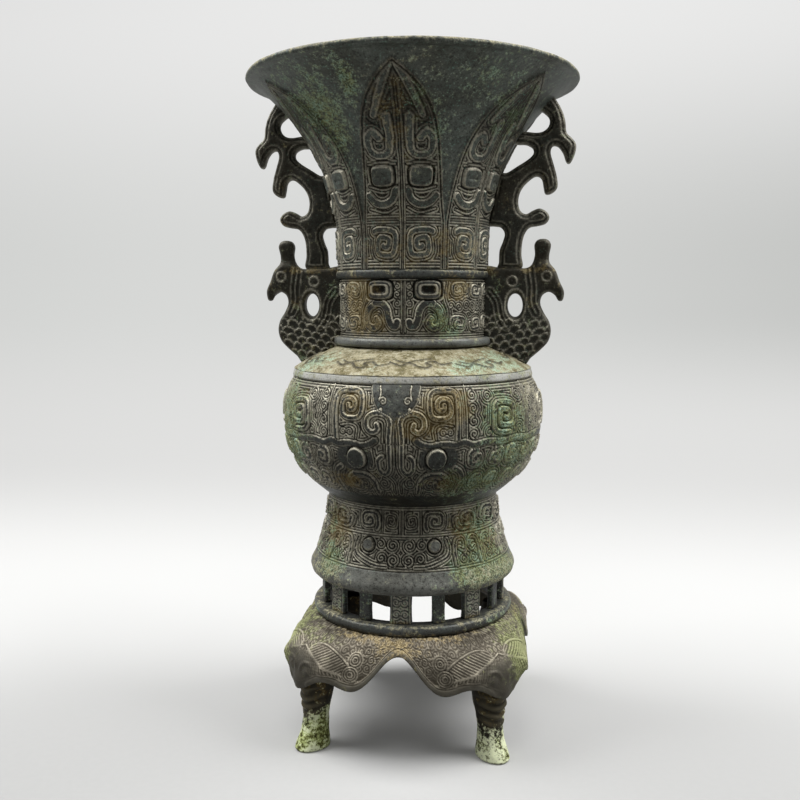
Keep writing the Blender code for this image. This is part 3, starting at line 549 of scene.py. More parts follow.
# Patches of green and of earth: angle from the front and width in degrees, height and tallness in
# millimetres, in the order angle, height, width, tallness, strength
GREEN_SPOTS = [
    (-18.0, 346.0, 4.0, 8.0, 0.75), (-54.0, 336.0, 16.0, 14.0, 0.6), (8.0, 338.0, 5.0, 8.0, 0.5),
    (19.0, 326.0, 8.0, 15.0, 0.4), (36.0, 346.0, 14.0, 12.0, 0.35), (-35.0, 330.0, 12.0, 24.0, 0.6),
    (60.0, 335.0, 15.0, 14.0, 0.5),
    (26.0, 232.0, 10.0, 8.0, 0.8), (40.0, 226.0, 15.0, 6.0, 0.5), (-52.0, 209.0, 18.0, 7.0, 0.5),
    (34.0, 208.0, 14.0, 5.0, 0.6), (66.0, 209.0, 18.0, 7.0, 0.6), (-12.0, 207.0, 5.0, 3.0, 0.4),
    (46.0, 184.0, 14.0, 16.0, 0.75), (62.0, 165.0, 18.0, 16.0, 0.75), (38.0, 150.0, 20.0, 10.0, 0.8),
    (-60.0, 182.0, 16.0, 20.0, 0.95), (-66.0, 160.0, 16.0, 15.0, 0.75),
    (52.0, 112.0, 22.0, 22.0, 0.7), (40.0, 98.0, 12.0, 7.0, 0.9), (-46.0, 99.0, 12.0, 8.0, 0.9),
    (-58.0, 116.0, 16.0, 20.0, 0.45), (75.0, 96.0, 20.0, 9.0, 0.7),
    (150.0, 160.0, 25.0, 25.0, 0.5), (205.0, 110.0, 25.0, 20.0, 0.6), (170.0, 335.0, 20.0, 15.0, 0.5),
    (235.0, 345.0, 15.0, 12.0, 0.5), (190.0, 186.0, 15.0, 12.0, 0.4), (120.0, 100.0, 14.0, 9.0, 0.7),
    (-64.0, 52.0, 10.0, 16.0, 0.9), (-85.0, 52.0, 20.0, 18.0, 0.8), (58.0, 50.0, 9.0, 18.0, 0.8),
    (82.0, 52.0, 24.0, 18.0, 0.9), (160.0, 50.0, 30.0, 14.0, 0.5), (-42.0, 62.0, 14.0, 4.0, 0.4),
]
EARTH_SPOTS = [
    (0.0, 330.0, 12.0, 22.0, 0.35), (-10.0, 268.0, 26.0, 14.0, 0.35), (40.0, 268.0, 30.0, 14.0, 0.45),
    (-40.0, 246.0, 16.0, 9.0, 0.9), (-38.0, 230.0, 16.0, 8.0, 0.8), (-18.0, 230.0, 8.0, 5.0, 0.7),
    (42.0, 247.0, 14.0, 7.0, 0.8), (20.0, 230.0, 8.0, 5.0, 0.5),
    (-18.0, 190.0, 9.0, 8.0, 0.7), (9.0, 179.0, 10.0, 7.0, 0.9), (22.0, 189.0, 10.0, 9.0, 1.0),
    (-50.0, 190.0, 12.0, 10.0, 0.5), (-25.0, 150.0, 12.0, 5.0, 0.6), (24.0, 150.0, 12.0, 6.0, 0.6),
    (50.0, 185.0, 12.0, 10.0, 0.5), (-50.0, 118.0, 14.0, 12.0, 0.8), (42.0, 120.0, 12.0, 12.0, 0.8),
    (60.0, 110.0, 14.0, 12.0, 0.6), (180.0, 190.0, 40.0, 14.0, 0.5), (140.0, 125.0, 30.0, 10.0, 0.6),
    (200.0, 240.0, 40.0, 10.0, 0.6), (0.0, 62.0, 16.0, 6.0, 0.85), (-24.0, 66.0, 16.0, 2.4, 0.7),
    (28.0, 66.0, 16.0, 2.4, 0.7), (90.0, 62.0, 14.0, 4.0, 0.7), (180.0, 62.0, 14.0, 4.0, 0.7),
    (-90.0, 62.0, 14.0, 4.0, 0.7),
]


def shell(name, outer, inner, count, relief=None, poles=False, uneven=0.18, crust=0.0):
    """Turn an outer profile with cast relief and a plain inner profile into one closed wall.

    A point is at radius r and height z of its profile, moved along the profile's own outward
    direction by the relief and by a slight unevenness of the casting.
    """
    outer, inner = np.array(outer, float), np.array(inner, float)
    angle = np.arange(count) * math.tau / count
    run = np.gradient(outer, axis=0)
    length = np.maximum(np.hypot(run[:, 0], run[:, 1]), 1e-9)
    out_r, out_z = -run[:, 1] / length, run[:, 0] / length
    height, crest, bare = relief if relief else (np.zeros((len(outer), count)),) * 3
    arc = outer[:, :1] * angle[None, :]
    bump = height + uneven * wobble(arc, outer[:, 1:] + 0.0 * arc, 23.0, 1.7)
    r = outer[:, :1] + bump * out_r[:, None]
    z = outer[:, 1:] + bump * out_z[:, None]
    turn = angle[None, :] + 0.35 * wobble(arc, outer[:, 1:] + 0.0 * arc, 31.0, 0.4) / outer[:, :1]
    face = np.stack([r * np.sin(turn), -r * np.cos(turn), z], -1)
    back = np.stack([inner[:, :1] * np.sin(angle), -inner[:, :1] * np.cos(angle),
                     inner[:, 1:] + 0.0 * angle[None, :]], -1)
    degrees = np.degrees(angle)[None, :]
    empty = np.zeros(back.shape[:2])
    shares = {
        "crest": np.vstack([crest, empty]),
        "bare": np.vstack([bare if relief else np.ones(face.shape[:2]), empty + 1.0]),
        "green": np.vstack([patches(degrees, outer[:, 1:], GREEN_SPOTS), empty - 0.3]),
        "earth": np.vstack([patches(degrees, outer[:, 1:], EARTH_SPOTS), empty + 0.25]),
        "crust": np.vstack([crust + np.zeros(face.shape[:2]), empty]),
    }
    if poles:
        face, back = np.vstack([back[-1:], face]), back[:-1]
        rows = np.vstack([back, face])
        shares = {key: np.vstack([v[len(outer):], v[:len(outer)]]) for key, v in shares.items()}
        return grid_mesh(name, rows, shares, poles=True, sharp=(len(back) - 1, len(back), len(back) + 1))
    ends = (0, len(face) - 1, len(face), len(face) + len(back) - 1)
    return grid_mesh(name, np.vstack([face, back]), shares, sharp=ends)


def from_front(count):
    """Give each column's angle from the front, in degrees, as a row."""
    return np.abs((np.arange(count) * 360.0 / count + 180.0) % 360.0 - 180.0)[None, :]


def shade_front_underside(relief, z):
    """Paint shade on the belly's underside at the front: the ridge and bare shares fade there."""
    height, crest, bare = relief
    side = smooth(20.0, 50.0, from_front(height.shape[1]))
    share = side + (1.0 - side) * (0.28 + 0.72 * smooth(152.0, 180.0, z[:, None]))
    return [height, crest * share, bare * share]


def trumpet_radius(z):
    """Give the trumpet's outer radius: the neck's plus a power of the height."""
    t = np.clip((np.asarray(z, float) - TRUMPET_LOW) / (RIM_Z - TRUMPET_LOW), 0.0, 1.0)
    return NECK_R + (MOUTH_R - NECK_R) * t ** TRUMPET_FLARE


def belly_radius(z):
    """Give the radius of the belly's ground: one power curve below its widest height and one above."""
    z = np.asarray(z, float)
    low = np.clip((WIDEST_Z - z) / (WIDEST_Z - BELLY_LOW), 0.0, 1.0)
    high = np.clip((z - WIDEST_Z) / (BELLY_HIGH - WIDEST_Z), 0.0, 1.0)
    ground = BELLY_R - MASK_TALL
    below = WAIST_R + (ground - WAIST_R) * (1.0 - low ** BELLY_UNDER)
    return np.where(z < WIDEST_Z, below, ground - (ground + BAND_INSET - BAND_R) * high ** BELLY_OVER)


def foot_radius(z):
    """Give the foot's outer radius: a power of the depth below its top."""
    t = np.clip((FOOT_HIGH - np.asarray(z, float)) / (FOOT_HIGH - LIP_Z), 0.0, 1.0)
    return WAIST_R + (LIP_R - WAIST_R) * t ** FOOT_FLARE


def along_profile(radius, low, high, count):
    """Give rows evenly spaced along a profile's own length, from its top down."""
    z = np.linspace(high, low, 600)
    r = radius(z)
    run = np.concatenate([[0.0], np.cumsum(np.hypot(np.diff(r), np.diff(z)))])
    even = np.interp(np.linspace(0.0, run[-1], count), run, z)
    return np.stack([radius(even), even], 1)


def rod(radius, low, high, edge, count=11):
    """Give the outer profile of a rounded ring: a half superellipse from its top edge to its bottom."""
    turn = np.linspace(math.pi / 2.0, -math.pi / 2.0, count)
    bulge = np.cos(turn) ** 0.7
    middle, half = (low + high) / 2.0, (high - low) / 2.0
    return np.stack([radius - edge + edge * bulge, middle + half * np.sin(turn)], 1)


def lining(radius, low, high, count):
    """Give the inner profile of a wall, from its bottom up."""
    z = np.linspace(low, high, count)
    return np.stack([radius(z) - WALL, z], 1)


def plain_rows(relief, rows, height=0.0, first=False):
    """Add rows of bare bronze at one height to a relief, after its own rows or before them."""
    longer = []
    for part, value in zip(relief, (height, 0.0, 1.0)):
        plain = np.full((rows, part.shape[1]), value)
        longer.append(np.vstack([plain, part] if first else [part, plain]))
    return longer


def cast(name, finish, slot, node, *wall, **options):
    """Turn a wall with shell and link it as a finished piece."""
    place(name, shell(name, *wall, **options), finish, slot, node)


# Handles as solids cut out of a block of samples

BIRD_OUTLINE = [
    (39.0, 259.2), (48.0, 259.3), (57.0, 259.2), (62.6, 258.8), (66.0, 260.8), (67.6, 266.0),
    (67.3, 271.5), (69.5, 274.3), (74.0, 274.4), (76.3, 271.5), (75.5, 266.0), (75.8, 261.6),
    (79.0, 257.5), (81.3, 251.5), (83.8, 246.0), (83.2, 241.3), (80.8, 241.0), (78.8, 244.0),
    (75.5, 245.8), (72.0, 243.8), (71.0, 239.5), (73.0, 234.5), (76.0, 229.5), (77.0, 224.0),
    (75.5, 218.5), (71.5, 214.0), (66.3, 209.5), (62.0, 205.5), (50.0, 209.0), (39.0, 213.0),
    (38.0, 225.0), (38.0, 245.0),
]
BRANCH_OUTLINE = [
    (60.3, 258.6), (60.3, 266.0), (60.6, 272.0), (61.8, 277.0), (64.5, 280.6), (69.5, 281.6),
    (73.3, 282.8), (75.2, 285.8), (73.8, 289.0), (70.0, 291.0), (66.0, 289.8), (62.5, 288.0),
    (59.3, 290.0), (58.2, 295.0), (59.5, 300.5), (63.0, 305.0), (67.5, 308.0), (70.7, 306.6),
    (71.8, 302.0), (72.8, 298.6), (76.0, 298.8), (79.2, 302.0), (78.8, 308.0), (76.8, 315.0),
    (75.3, 320.5), (76.3, 323.8), (79.3, 323.5), (82.0, 320.0), (83.7, 315.5), (85.8, 314.8),
    (88.2, 319.5), (88.8, 324.5), (86.5, 328.0), (83.6, 331.0), (82.8, 337.0), (80.8, 343.0),
    (77.5, 348.5), (74.0, 353.0), (66.0, 348.0), (67.0, 343.5), (71.0, 341.8), (74.3, 338.5),
    (74.0, 334.5), (71.0, 331.8), (67.0, 331.2), (62.0, 331.8), (57.0, 331.5), (55.0, 326.5),
    (58.0, 325.1), (62.0, 324.9), (65.6, 323.0), (66.0, 320.0), (63.0, 317.0), (57.0, 313.3),
    (52.0, 310.3), (46.0, 308.5), (42.5, 291.0), (41.0, 282.5), (45.5, 281.5), (49.0, 280.8),
    (51.0, 277.5), (50.0, 273.0), (48.3, 268.5), (48.0, 262.0), (48.0, 258.6),
]


def inside_outline(path, x, z):
    """Tell which points lie inside a closed line, by counting the pieces that a level ray crosses."""
    inside = np.zeros(x.shape, bool)
    for (x0, z0), (x1, z1) in zip(path[:-1], path[1:]):
        crosses = (z0 > z) != (z1 > z)
        at = x0 + (z - z0) * (x1 - x0) / (z1 - z0 if z1 != z0 else 1e-9)
        inside ^= crosses & (x < at)
    return inside


def surface_net(value, origin, step):
    """Skin a block of samples where the value changes sign: one point in each crossed cell, at the
    mean of its edges' crossings, and one face across each crossed edge."""
    solid = value < 0.0
    cells = tuple(s - 1 for s in value.shape)
    total = np.zeros(cells + (3,))
    hits = np.zeros(cells)
    crossed = []
    for axis in range(3):
        a = [slice(None)] * 3
        b = [slice(None)] * 3
        a[axis], b[axis] = slice(None, -1), slice(1, None)
        va, vb = value[tuple(a)], value[tuple(b)]
        cross = solid[tuple(a)] != solid[tuple(b)]
        crossed.append((cross, solid[tuple(a)]))
        t = np.where(cross, va / np.where(cross, va - vb, 1.0), 0.0)
        others = [k for k in range(3) if k != axis]
        for p in (0, 1):
            for q in (0, 1):
                pick = [slice(None)] * 3
                pick[others[0]] = slice(p, cells[others[0]] + p)
                pick[others[1]] = slice(q, cells[others[1]] + q)
                hit = cross[tuple(pick)]
                hits += hit
                total[..., axis] += np.where(hit, t[tuple(pick)], 0.0)
                total[..., others[0]] += hit * p
                total[..., others[1]] += hit * q
    used = hits > 0
    index = np.full(cells, -1)
    index[used] = np.arange(int(used.sum()))
    points = (np.argwhere(used) + total[used] / hits[used][:, None]) * step + origin
    quads = []
    for axis, (cross, first) in enumerate(crossed):
        o1, o2 = [k for k in range(3) if k != axis]
        spots = np.argwhere(cross)
        keep = (spots[:, o1] > 0) & (spots[:, o2] > 0)
        keep &= (spots[:, o1] < cells[o1]) & (spots[:, o2] < cells[o2])
        spots = spots[keep]
        ring = []
        for p, q in ((1, 1), (0, 1), (0, 0), (1, 0)):
            cell = spots.copy()
            cell[:, o1] -= p
            cell[:, o2] -= q
            ring.append(index[cell[:, 0], cell[:, 1], cell[:, 2]])
        quad = np.stack(ring, 1)
        flip = first[spots[:, 0], spots[:, 1], spots[:, 2]] ^ (axis == 1)
        quads.append(np.where(flip[:, None], quad, quad[:, ::-1]))
    return points, np.vstack(quads)


def body_radius(z):
    """Give the body's outer radius behind the handles."""
    drum = np.where(z > TRUMPET_LOW, trumpet_radius(z), NECK_R)
    slope = SHOULDER_R - (SHOULDER_R - NECK_R) * np.clip((z - SHOULDER_LOW) / 12.5, 0.0, 1.0) ** 1.18
    return np.where(z < SHOULDER_HIGH, slope, drum)


def handle_block(outline, thick, step, carve):
    """Sample a plate with round edges: inside an outline in the XZ plane, cut back to the body.

    The value is the distance outside a rounded plate whose half thickness is set by carve from the
    place and the depth inside the outline.
    """
    path = bend(*outline, closed=True, steps=5)
    low, high = path.min(0) - 2.0, path.max(0) + 2.0
    x = np.arange(low[0], high[0], step)
    z = np.arange(low[1], high[1], step)
    y = np.arange(-thick / 2.0 - 1.6, thick / 2.0 + 1.6, step)
    gx, gz = np.meshgrid(x, z, indexing="ij")
    deep = distance(path, gx, gz) * np.where(inside_outline(path, gx, gz), 1.0, -1.0)
    deep, half, crest = carve(gx, gz, deep)
    edge = settings().handle_edge / MM
    side = np.maximum(edge - deep, 0.0)[:, None, :]
    over = np.abs(y)[None, :, None] - (half - edge)[:, None, :]
    value = np.hypot(side, np.maximum(over, 0.0)) - edge
    value = np.where((side <= 0.0) & (over <= 0.0), np.maximum(over, -deep[:, None, :]) - edge, value)
    reach = np.hypot(gx[:, None, :], y[None, :, None])
    value = np.maximum(value, body_radius(gz)[:, None, :] - 1.0 - reach)
    points, quads = surface_net(value, np.array([x[0], y[0], z[0]]), step)
    column = np.clip(((points[:, [0, 2]] - [x[0], z[0]]) / step).round().astype(int), 0,
                     [len(x) - 1, len(z) - 1])
    return points, quads, crest[column[:, 0], column[:, 1]]


def carve_branch(x, z, deep):
    """Shape the branch: a groove beside each edge, a fainter one further in and a rough skin."""
    groove = np.exp(-(((deep - 1.9) / 0.5) ** 2)) * smooth(-0.8, -0.2, wobble(x, z, 24.0, 1.1))
    inner = np.exp(-(((deep - 3.7) / 0.5) ** 2)) * smooth(-0.2, 0.3, wobble(x, z, 19.0, 2.6))
    half = 4.1 + 0.6 * smooth(0.5, 4.5, deep) - 0.9 * groove - 0.6 * inner
    for amount, size, seed in ((0.3, 17.0, 2.0), (0.2, 4.6, 3.0), (0.1, 2.2, 0.7)):
        half = half + amount * wobble(x, z, size, seed)
    ridge = np.exp(-(((deep - 2.8) / 0.5) ** 2))
    return deep, half, np.maximum((1.0 - groove) * smooth(1.7, 0.5, deep) * 0.7, 0.6 * ridge)


def carve_bird(x, z, deep):
    """Shape the bird: pierced back, ringed eyes, scaled breast, ridged wing and round crest."""
    hole = np.hypot((x - 57.2) / 4.1, (z - 238.5) / 6.4) - 1.0
    deep = np.minimum(deep, hole * 4.6)
    half = 5.0 + 0.0 * x
    crest = 0.35 * smooth(2.0, 0.6, deep)
    for u0, v0, size in ((74.0, 254.2, 2.6), (55.2, 251.6, 2.7)):
        ring = np.hypot(x - u0, z - v0)
        half = half + 0.7 * np.exp(-(((ring - size) / 0.55) ** 2)) + 0.5 * smooth(1.3, 0.5, ring)
        crest = np.maximum(crest, np.exp(-(((ring - size) / 0.6) ** 2)))
    warp_x, warp_z = x + 1.3 * wobble(x, z, 13.0, 0.9), z + 1.0 * wobble(x, z, 11.0, 2.7) - 0.2 * x
    row = (warp_z - 190.0) / 3.9
    shift = np.floor(row) % 2.0 * 2.7
    cell_u = (warp_x + shift) % 5.4 - 2.7
    cell_v = (row % 1.0) * 3.9
    scale = np.hypot(cell_u, cell_v - 0.2)
    breast = smooth(233.5, 230.5, z + 0.12 * (x - 60.0)) * smooth(0.8, 2.0, deep)
    rim = np.exp(-(((scale - 2.7) / 0.5) ** 2))
    half = half + breast * (0.6 * rim - 0.15)
    crest = np.maximum(crest, rim * breast)
    neck = distance(bend((64.5, 258.0), (66.0, 248.0), (66.0, 240.0), (68.5, 234.0)), x, z)
    lines = np.cos(math.tau * neck / 2.6) * smooth(4.0, 2.5, neck) * smooth(0.5, 1.5, deep)
    ring = np.abs(hole * 4.6 - 1.6)
    rim = np.exp(-((ring / 0.6) ** 2)) * smooth(262.0, 258.0, z)
    half = half + 0.35 * lines + 0.5 * rim
    crest = np.maximum(crest, np.maximum(0.6 * lines, rim))
    wing = distance(bend((43.0, 246.0), (47.0, 240.0), (48.6, 232.0), (52.0, 227.0), (60.0, 225.6)), x, z)
    lines = np.cos(math.tau * wing / 2.4) * smooth(4.4, 2.4, wing) * smooth(0.5, 1.5, deep) * (x < 53.0)
    half = half + 0.35 * lines
    crest = np.maximum(crest, 0.6 * lines)
    knob = smooth(259.0, 264.0, z) * (x > 65.0)
    half = half * (1.0 - knob) + knob * (3.2 + 0.9 * smooth(264.0, 271.0, z))
    beak = smooth(250.0, 243.0, z) * smooth(76.5, 80.0, x)
    return deep, half - 1.8 * beak, crest


# Finishes

class Value:
    """A number in a finish; arithmetic on it adds the nodes that work it out."""

    def __init__(self, finish, socket):
        self.finish, self.socket = finish, socket

    def math(self, operation, a, b=0.0):
        """Add one Math node."""
        return self.finish.number("ShaderNodeMath", {"operation": operation}, {0: a, 1: b})

    def __add__(self, other):
        return self.math("ADD", self, other)

    def __radd__(self, other):
        return self.math("ADD", other, self)

    def __sub__(self, other):
        return self.math("SUBTRACT", self, other)

    def __rsub__(self, other):
        return self.math("SUBTRACT", other, self)

    def __mul__(self, other):
        return self.math("MULTIPLY", self, other)

    def __rmul__(self, other):
        return self.math("MULTIPLY", other, self)


class Finish:
    """One procedural material, or the light of a world."""

    def __init__(self, name, world=None):
        self.material = world or bpy.data.materials.new(name)
        self.material.use_nodes = True
        self.tree = self.material.node_tree
        self.shader = self.tree.nodes["Background" if world else "Principled BSDF"]
        self.place = None if world else self.node("ShaderNodeTexCoord", {}, {}).outputs["Object"]

    def node(self, kind, options, inputs):
        """Add a node: its settings first, then the values or links of its sockets."""
        node = self.tree.nodes.new(kind)
        for key, value in options.items():
            setattr(node, key, value)
        for key, value in inputs.items():
            self.feed(node.inputs[key], value)
        return node

    def feed(self, socket, value):
        """Set a socket, or link it."""
        if isinstance(value, Value):
            value = value.socket
        if isinstance(value, bpy.types.NodeSocket):
            self.tree.links.new(value, socket)
        else:
            socket.default_value = value

    def number(self, kind, options, inputs, output=0):
        """Add a node and give one of its outputs as a number."""
        return Value(self, self.node(kind, options, inputs).outputs[output])

    def share(self, name):
        """Read one of the mesh's shares."""
        return self.number("ShaderNodeAttribute", {"attribute_name": name}, {}, "Fac")

    def noise(self, size, detail=3.0, rough=0.55, shift=0.0):
        """Give cloudy noise whose clouds are about one size in millimetres."""
        spot = self.node("ShaderNodeVectorMath", {"operation": "ADD"},
                         {0: self.place, 1: (shift, shift, shift)})
        return self.number("ShaderNodeTexNoise", {"noise_dimensions": "3D"},
                           {"Vector": spot.outputs[0], "Scale": 1000.0 / size, "Detail": detail,
                            "Roughness": rough})

    def seen(self):
        """Tell the rays that show the background: the eye's, and those off gloss or through glass."""
        path = self.node("ShaderNodeLightPath", {}, {})
        eye, gloss, glass = (Value(self, path.outputs[f"Is {kind} Ray"])
                             for kind in ("Camera", "Glossy", "Transmission"))
        return eye.math("MAXIMUM", eye, gloss.math("MAXIMUM", gloss, glass))

    def ragged(self, share, *clouds):
        """Break up a share's edge with clouds, each with its weight."""
        for cloud, weight in clouds:
            share = share + (cloud - 0.5) * weight
        return share

    def step(self, value, low, high):
        """Rise smoothly from 0 at low to 1 at high."""
        return self.number("ShaderNodeMapRange", {"interpolation_type": "SMOOTHSTEP"},
                           {"Value": value, "From Min": low, "From Max": high})

    def mix(self, share, first, second):
        """Mix two colours."""
        node = self.node("ShaderNodeMix", {"data_type": "RGBA"}, {"Factor": share})
        for socket, colour in zip((node.inputs[6], node.inputs[7]), (first, second)):
            if not isinstance(colour, bpy.types.NodeSocket):
                colour = (*colour, 1.0) if len(colour) == 3 else tuple(colour)
            self.feed(socket, colour)
        return node.outputs[2]

    def blend(self, output, share, first, second):
        """Mix two shaders and join them to the output."""
        node = self.node("ShaderNodeMixShader", {}, {0: share, 1: first.outputs[0], 2: second.outputs[0]})
        self.feed(self.tree.nodes[output].inputs["Surface"], node.outputs[0])

    def close(self, colour, rough, metal, bump, strength=0.5, depth=0.0004):
        """Join colour, roughness, metal share and bump to the shader."""
        self.feed(self.shader.inputs["Base Color"], colour)
        self.feed(self.shader.inputs["Roughness"], rough)
        self.feed(self.shader.inputs["Metallic"], metal)
        node = self.node("ShaderNodeBump", {},
                         {"Strength": strength, "Distance": depth, "Height": bump})
        self.feed(self.shader.inputs["Normal"], node.outputs[0])
        self.shader.inputs["Specular IOR Level"].default_value = 0.1
        return self.material


def patina(name, hollow, ridge, speckle, earth_gain=1.0, rough=0.46, metal=0.5, bared=None):
    """Make aged bronze: dark hollows, partly patina and partly painted shade, ridges lightened by
    rubbing and by a painted highlight, and slate bare parts, tinted by green and earth.

    Each tint has its own hollow and ridge colour, so the cast lines stay clear under it.
    """
    s = settings()
    f = Finish(name)
    crest, bare, green = f.share("crest"), f.share("bare"), f.share("green")
    broad, middle = f.noise(30.0), f.noise(7.0, 4.0, shift=3.1)
    fine, grain = f.noise(2.0, 3.0, 0.65, shift=7.7), f.noise(0.8, 2.0, 0.6, shift=1.3)
    wear = f.step(middle * 0.5 + fine * 0.5, 0.36, 0.62)
    line = crest * (0.45 + 0.55 * wear)
    plain = 0.15 + f.step(fine * 0.5 + grain * 0.5, 0.4, 0.62) * 0.55
    tone = line * 0.9 + bare * plain + (grain - 0.5) * 0.5
    # Hollows take the dark colour and ridges the light one: partly patina and wear, partly painted shade in
    # the grooves and a painted highlight on the ridges.
    colour = f.mix(line, hollow, ridge)
    colour = f.mix(bare * (0.6 + 0.4 * wear), colour, bared or tint(s.slate))
    colour = f.mix(f.step(broad, 0.42, 0.66) * 0.4, colour, (0.024, 0.018, 0.009))
    soil = f.ragged(f.share("earth") * earth_gain * (1.0 - bare * 0.5), (middle, 1.3), (fine, 1.2))
    soil = f.step(soil, 0.15, 0.7)
    earth = f.mix(tone, (0.085, 0.057, 0.018), (0.45, 0.36, 0.18))
    colour = f.mix(soil * (0.92 - line * 0.45), colour, earth)
    bloom = f.step(f.ragged(green, (middle, 1.5), (fine, 1.7), (grain, 0.6)), 0.25, 0.8)
    leaf = f.step(grain * 0.5 + middle * 0.5, 0.46, 0.62)
    leaf = f.mix(leaf, (0.43, 0.45, 0.20), (0.38, 0.58, 0.44))
    colour = f.mix(bloom * 0.85, colour, f.mix(tone, (0.036, 0.050, 0.020), leaf))
    dots = f.step(grain * 0.65 + fine * 0.35, 0.57, 0.63) * (speckle + green * 0.7)
    fleck = f.mix(f.step(middle, 0.4, 0.6), tint(s.verdigris), (0.36, 0.38, 0.28))
    colour = f.mix(dots, colour, fleck)
    crust = f.step(f.ragged(f.share("crust"), (fine, 1.5), (middle, 1.1)), 0.25, 0.75)
    chalk = f.mix(f.step(grain, 0.38, 0.6), (0.13, 0.125, 0.085), tint(s.crust))
    colour = f.mix(crust * 0.85, colour, chalk)
    pits = f.step(grain * 0.55 + fine * 0.45, 0.46, 0.38)
    colour = f.mix(pits * 0.6, colour, (0.008, 0.007, 0.005))
    dull = bloom * 0.7 + soil * 0.6 + dots * 0.4 + crust * 0.7
    roughness = rough + dull * 0.3 - line * 0.04 + (fine - 0.5) * 0.3
    shine = metal - dull * 0.4 - line * 0.25 - bare * 0.2
    return f.close(colour, roughness, shine, fine * 0.7 + grain * 0.5, 0.6)


def crust_finish():
    """Make the shoulder's dry crust: cream and olive over brown, with dark cast lines."""
    s = settings()
    f = Finish("shoulder_crust")
    broad, middle = f.noise(24.0), f.noise(5.0, 4.0, shift=2.0)
    fine, grain = f.noise(1.8, 3.0, 0.7, shift=5.0), f.noise(0.7, 2.0, 0.6, shift=8.0)
    cream = f.step(broad * 0.5 + middle * 0.5, 0.4, 0.6)
    colour = f.mix(cream, (0.150, 0.124, 0.060), tint(s.crust, 0.85))
    for first, second, share, low, high, amount, tone in (
            (fine, grain, 0.6, 0.5, 0.6, 0.6, (0.44, 0.42, 0.33)),
            (fine, middle, 0.5, 0.5, 0.4, 0.6, (0.11, 0.100, 0.050)),
            (grain, fine, 0.6, 0.44, 0.37, 0.7, (0.040, 0.036, 0.022))):
        spots = f.step(first * share + second * (1.0 - share), low, high)
        colour = f.mix(spots * amount, colour, tone)
    bloom = f.step(f.ragged(f.share("green"), (middle, 1.4), (fine, 1.6)), 0.3, 0.8)
    leaf = f.mix(f.step(grain, 0.4, 0.6), (0.17, 0.21, 0.11), (0.36, 0.52, 0.42))
    colour = f.mix(bloom * 0.75, colour, leaf)
    line = f.share("crest") * (0.6 + 0.35 * f.step(fine, 0.4, 0.6))
    colour = f.mix(line, colour, (0.034, 0.031, 0.024))
    bump = fine + middle * 0.7 + grain * 0.4
    return f.close(colour, 0.66 + (fine - 0.5) * 0.3, 0.15, bump, 0.8, 0.0006)


def stand_finish():
    """Make the skirt's brown bronze: dark lines, worn ridges, tan crust above and green at the sides."""
    f = Finish("stand_bronze")
    crest, bare = f.share("crest"), f.share("bare")
    broad, middle = f.noise(26.0), f.noise(6.0, 4.0, shift=2.0)
    fine, grain = f.noise(1.8, 3.0, 0.65, shift=5.0), f.noise(0.7, 2.0, 0.6, shift=8.0)
    wear = f.step(middle * 0.5 + fine * 0.5, 0.36, 0.62)
    colour = f.mix(crest * (0.3 + 0.7 * wear), (0.066, 0.056, 0.041), (0.52, 0.47, 0.37))
    colour = f.mix(bare * (0.6 + 0.4 * wear), colour, (0.105, 0.098, 0.078))
    colour = f.mix(f.step(broad, 0.44, 0.62) * 0.55, colour, (0.040, 0.035, 0.026))
    # Painted shade: where the shade share is high, the colour darkens to near black.
    painted_shade = f.mix(fine, (0.014, 0.012, 0.009), (0.07, 0.064, 0.05))
    colour = f.mix(f.share("shade") * (0.5 + 0.4 * wear), colour, painted_shade)
    tan = f.step(f.ragged(f.share("earth"), (middle, 1.6), (fine, 1.8)), 0.35, 0.95)
    earth = f.mix(f.step(grain, 0.35, 0.65), (0.16, 0.115, 0.045), (0.52, 0.42, 0.24))
    colour = f.mix(tan * 0.8, colour, earth)
    green = f.step(f.ragged(f.share("green"), (middle, 1.6), (fine, 1.7)), 0.25, 0.9)
    leaf = f.step(grain * 0.6 + crest * 0.4, 0.2, 0.6)
    colour = f.mix(green * 0.85, colour, f.mix(leaf, (0.080, 0.090, 0.034), (0.38, 0.40, 0.20)))
    rough = 0.5 + green * 0.25 + tan * 0.2 + (fine - 0.5) * 0.3
    return f.close(colour, rough, 0.4 - green * 0.25 - tan * 0.25, fine + grain * 0.6, 0.5)


def leg_finish():
    """Make the legs: near-black folds above, mottled olive and pale green below."""
    s = settings()
    f = Finish("leg_patina")
    middle, fine = f.noise(6.0, 4.0, shift=2.0), f.noise(1.8, 3.0, 0.7, shift=5.0)
    grain = f.noise(0.7, 2.0, 0.6, shift=8.0)
    powder = f.step(f.ragged(f.share("green"), (middle, 1.6), (fine, 1.6)), 0.3, 0.75)
    colour = f.mix(f.share("crest") * 0.5, (0.016, 0.014, 0.009), (0.12, 0.105, 0.066))
    rust = f.step(middle * 0.6 + fine * 0.4, 0.5, 0.62)
    colour = f.mix(rust * 0.6, colour, (0.10, 0.066, 0.018))
    leaf = f.step(middle * 0.4 + fine * 0.6, 0.40, 0.60)
    leaf = f.mix(leaf, (0.115, 0.115, 0.034), tint(s.leaf_green))
    chalk = middle * 0.5 + fine * 0.35 + grain * 0.15 + f.share("earth") * 0.08
    leaf = f.mix(f.step(chalk, 0.49, 0.60) * 0.85, leaf, (0.84, 0.88, 0.62))
    pits = f.step(middle * 0.25 + fine * 0.5 + grain * 0.25, 0.475, 0.41)
    leaf = f.mix(pits * 0.8, leaf, (0.055, 0.056, 0.018))
    colour = f.mix(powder * 0.92, colour, leaf)
    return f.close(colour, 0.5 + powder * 0.28, 0.35 - powder * 0.3, fine + middle, 0.7)


